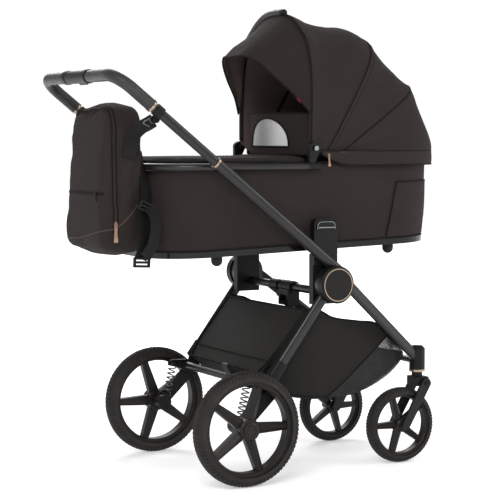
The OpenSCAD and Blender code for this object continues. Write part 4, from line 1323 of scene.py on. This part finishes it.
for side, out in (("left", 1), ("right", -1)):
    for end, pitch in (("rear", 0.0118), ("front", 0.0096)):
        wheel = f"{end}_wheel_{side}"
        tread(f"{end}_tread_{side}", f"{end}_tyre_{side}", pitch, wheel)
        centre, radius, half = wheel_of(f"{end}_tyre_{side}")
        rim_low, rim_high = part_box(f"{end}_rim_{side}")
        bead_radius = (rim_high.z - rim_low.z) / 2 + 0.0015
        sunk = min(0.9, abs(radius - half - bead_radius) / half)
        bead = hoop(centre, bead_radius, out * half * math.sqrt(1 - sunk ** 2), 96)
        trim(f"{end}_tyre_bead_{side}", bead, CORD_SEAM, tyre_rubber, wheel, closed=True, sides=2)
        if end == "rear":
            ring = hoop(centre, 0.0135, out * (half + 0.0041), 48)
            trim(f"rear_cap_ring_{side}", ring, 0.0007, black_plastic, wheel, closed=True, sides=2)

# Small fittings -------------------------------------------------------------------

for side, sign in (("left", 1), ("right", -1)):
    arm_low, arm_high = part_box(f"fork_arms_{side}")
    for index, (y, face) in enumerate(((arm_low.y, -1), (arm_high.y, 1))):
        seat = Vector((arm_high.x - 0.014, y + face * 0.0012, arm_high.z - 0.014))
        bolt = button(f"fork_bolt_{side}_{index + 1}", seat, 6.5, 3.4, (0, face, 0), 0.7, 1.0)
        coat(bolt, black_plastic, f"fork_arms_{side}")
    low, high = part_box(f"adapter_button_{side}")
    width = (high.x - low.x) / 2
    middle_x = (high.x + low.x) / 2
    face_y = high.y if sign > 0 else low.y
    arch = []
    for a in span(0, math.pi, 24):
        reach = width * math.copysign(abs(math.cos(a)) ** 0.45, math.cos(a))
        rise = (high.z - low.z - 0.004) * math.sin(a) ** 0.5
        arch.append(Vector((middle_x + reach * 0.93, face_y + sign * 0.0002, low.z + 0.002 + rise)))
    trim(f"adapter_button_trim_{side}", arch, 0.0009, steel, f"adapter_button_{side}")
    lip = [Vector((middle_x + d * width * 0.86, face_y + sign * 0.0006, low.z + 0.007))
           for d in span(-1, 1, 12)]
    trim(f"adapter_button_lip_{side}", lip, HEM, steel, f"adapter_button_{side}")
    cap_place = at(PIVOT_X, sign * (hinge_high.y * 1000 + 0.6), PIVOT_Z)
    coat(button(f"canopy_hinge_cap_{side}", cap_place, 6.5, 3.2, (0, sign, 0), 0.8, 0.8), steel, "carrycot")

# Bag straps and clips -------------------------------------------------------------

PIN_X = -231.5
PIN_Z = 946.1
STRAP_WIDTH = 0.035
LONG_STRAP_WIDTH = 0.036
STRAP_THICK = 0.0022
# The strap from its clip to the bag: x and z from the pin, and y between them.
STRAP_RUN = ((2, 214, -2), (-8, 201, -11), (-17, 180, -20), (-23, 159, -34), (-27, 146, -52), (-31, 141, -74),
             (-35, 140, -98))
# The wire triangle that the strap goes through, in the same way.
TRIANGLE = ((-2, 217, 8), (-24, 203, -8), (6, 206, -22))


def by_pin(places, sign):
    return [(PIN_X + x, sign * y, PIN_Z + z) for x, y, z in places]


for side, sign in (("left", 1), ("right", -1)):
    points = eased(by_pin(STRAP_RUN, sign))
    normals = []
    for i in range(len(points)):
        left_over = 1 - i / len(points)
        normals.append(Vector((-0.35 * left_over, sign, 0.25 * left_over)).normalized())
    strap = coat(ribbon(f"bag_strap_{side}", points, normals, STRAP_WIDTH, STRAP_THICK), webbing, "bag")
    if side == "right":
        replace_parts(strap, "bag_straps")
    eye = hoop(at(PIN_X, sign * 216, PIN_Z), 0.009, 0, 24)
    trim(f"bag_clip_ring_{side}", eye, SLIM_PIPING, spring_steel, "bag", closed=True)
    corners = [at(*place) for place in by_pin(TRIANGLE, sign)]
    wire = []
    for a, b in zip(corners, corners[1:] + corners[:1]):
        wire += [a.lerp(b, t) for t in (0.12, 0.3, 0.5, 0.7, 0.88)]
    trim(f"bag_clip_triangle_{side}", wire, PIPING, spring_steel, "bag", closed=True)
    stud_place = at(PIN_X + 1, sign * 219.5, PIN_Z + 2)
    coat(button(f"bag_clip_button_{side}", stud_place, 9, 6, (0, sign, 0), 1.2, 1.0), black_plastic, "bag")

# The long shoulder strap that hangs behind the bag on the near side, its doubled end and two buckles.
LONG_RUN = ((BAG_X1 + 8, -96, 868), (BAG_X1 + 9, -112, 815), (BAG_X1 + 13, -128, 765), (-224, -142, 711),
            (-226, -152, 660), (-234, -157, 615), (-242, -158, 590))
FOLD_RUN = ((-220, -150, 724), (-211, -158, 714), (-204, -166, 690), (-206, -170, 655), (-217, -168, 618),
            (-234, -165, 594))
long_line = eased(LONG_RUN)
long_normals = [Vector((0.8 - 0.7 * i / 24, -1, 0)).normalized() for i in range(len(long_line))]
coat(ribbon("shoulder_strap", long_line, long_normals, LONG_STRAP_WIDTH, STRAP_THICK), webbing, "bag")
fold_line = eased(FOLD_RUN)
fold_normals = [Vector((0.35, -1, 0)).normalized()] * len(fold_line)
coat(ribbon("shoulder_strap_fold", fold_line, fold_normals, LONG_STRAP_WIDTH, STRAP_THICK), webbing, "bag")
BUCKLES = (("strap_buckle_upper", -221, -152, 722, 0.45), ("strap_buckle_lower", -240, -162, 582, 0.05))
for name, x, y, z, turn in BUCKLES:
    middle = at(x, y, z)
    bars = [block(name, at(x, y, z + d), (46, 9, 6.5), 2.4) for d in (-10, 0, 10)]
    bars += [block(name, at(x + d, y, z), (7, 9, 27), 2.6) for d in (-20, 20)]
    buckle = join(name, bars)
    buckle.data.transform(Matrix.Translation(middle) @ Matrix.Rotation(turn, 4, "Y")
                          @ Matrix.Translation(-middle))
    coat(buckle, black_plastic, "bag")

# Studio ---------------------------------------------------------------------------

WHITE = (1, 1, 1, 1)
floor = begin("studio_floor", bpy.ops.mesh.primitive_circle_add, vertices=96, radius=14, fill_type="NGON",
              location=(0, 0, -0.0006))
floor_finish = Finish("pale_floor", "fabric", Roughness=0.75, Emission_Strength=1.0)
floor_place = floor_finish.object_place()
cloudy = floor_finish.noise(floor_place, 1.2)
floor_finish.colour(cloudy, (0.86, 0.86, 0.86, 1), (0.9, 0.9, 0.9, 1))
floor_x, floor_y = floor_finish.parts(floor_place)[:2]
far_away = floor_finish.ramp(floor_x * floor_x + floor_y * floor_y, 0.7, 7.0)
floor_finish.feed("Emission Color", floor_finish.blend(far_away, (0.34, 0.34, 0.34, 1), WHITE))
floor.data.materials.append(floor_finish.material)
backdrop = begin("studio_backdrop", bpy.ops.mesh.primitive_uv_sphere_add, segments=48, ring_count=24,
                 radius=30)
backdrop_finish = Finish("white_backdrop", "fabric", Base_Color=(0, 0, 0, 1), Emission_Color=WHITE,
                         Emission_Strength=1.0)
backdrop.data.materials.append(backdrop_finish.material)
backdrop.visible_diffuse = False
backdrop.visible_glossy = False
backdrop.visible_shadow = False
backdrop.visible_transmission = False

world = bpy.data.worlds.new("studio")
bpy.context.scene.world = world
world.use_nodes = True
sky = world.node_tree.nodes["Background"]
sky.inputs["Color"].default_value = WHITE
sky.inputs["Strength"].default_value = 0.6


def soft_light(name, place, target, size, power):
    light = bpy.data.lights.new(name, "AREA")
    light.shape = "SQUARE"
    light.size = size
    light.energy = power
    lamp = bpy.data.objects.new(name, light)
    bpy.context.scene.collection.objects.link(lamp)
    lamp.location = place
    lamp.rotation_mode = "QUATERNION"
    lamp.rotation_quaternion = (Vector(target) - Vector(place)).to_track_quat("-Z", "Y")


soft_light("key_light", (-2.6, -3.4, 3.4), (0, 0, 0.6), 2.2, 130)
soft_light("fill_light", (3.4, -2.4, 2.2), (0, 0, 0.6), 2.4, 60)
soft_light("back_light", (1.0, 3.6, 3.0), (0, 0, 0.7), 2.4, 90)
bpy.context.scene.view_settings.view_transform = "Standard"

camera_data = bpy.data.cameras.new("camera")
camera_data.sensor_width = 36
camera_data.lens = 121.5
camera_data.clip_end = 60
camera = bpy.data.objects.new("camera", camera_data)
bpy.context.scene.collection.objects.link(camera)
camera.location = (AXLE_X - 2.024, -4.090, 0.913)
camera.rotation_mode = "QUATERNION"
camera.rotation_quaternion = Vector((0.470, 0.880, -0.0693)).to_track_quat("-Z", "Y")
bpy.context.scene.camera = camera

bpy.context.view_layer.update()
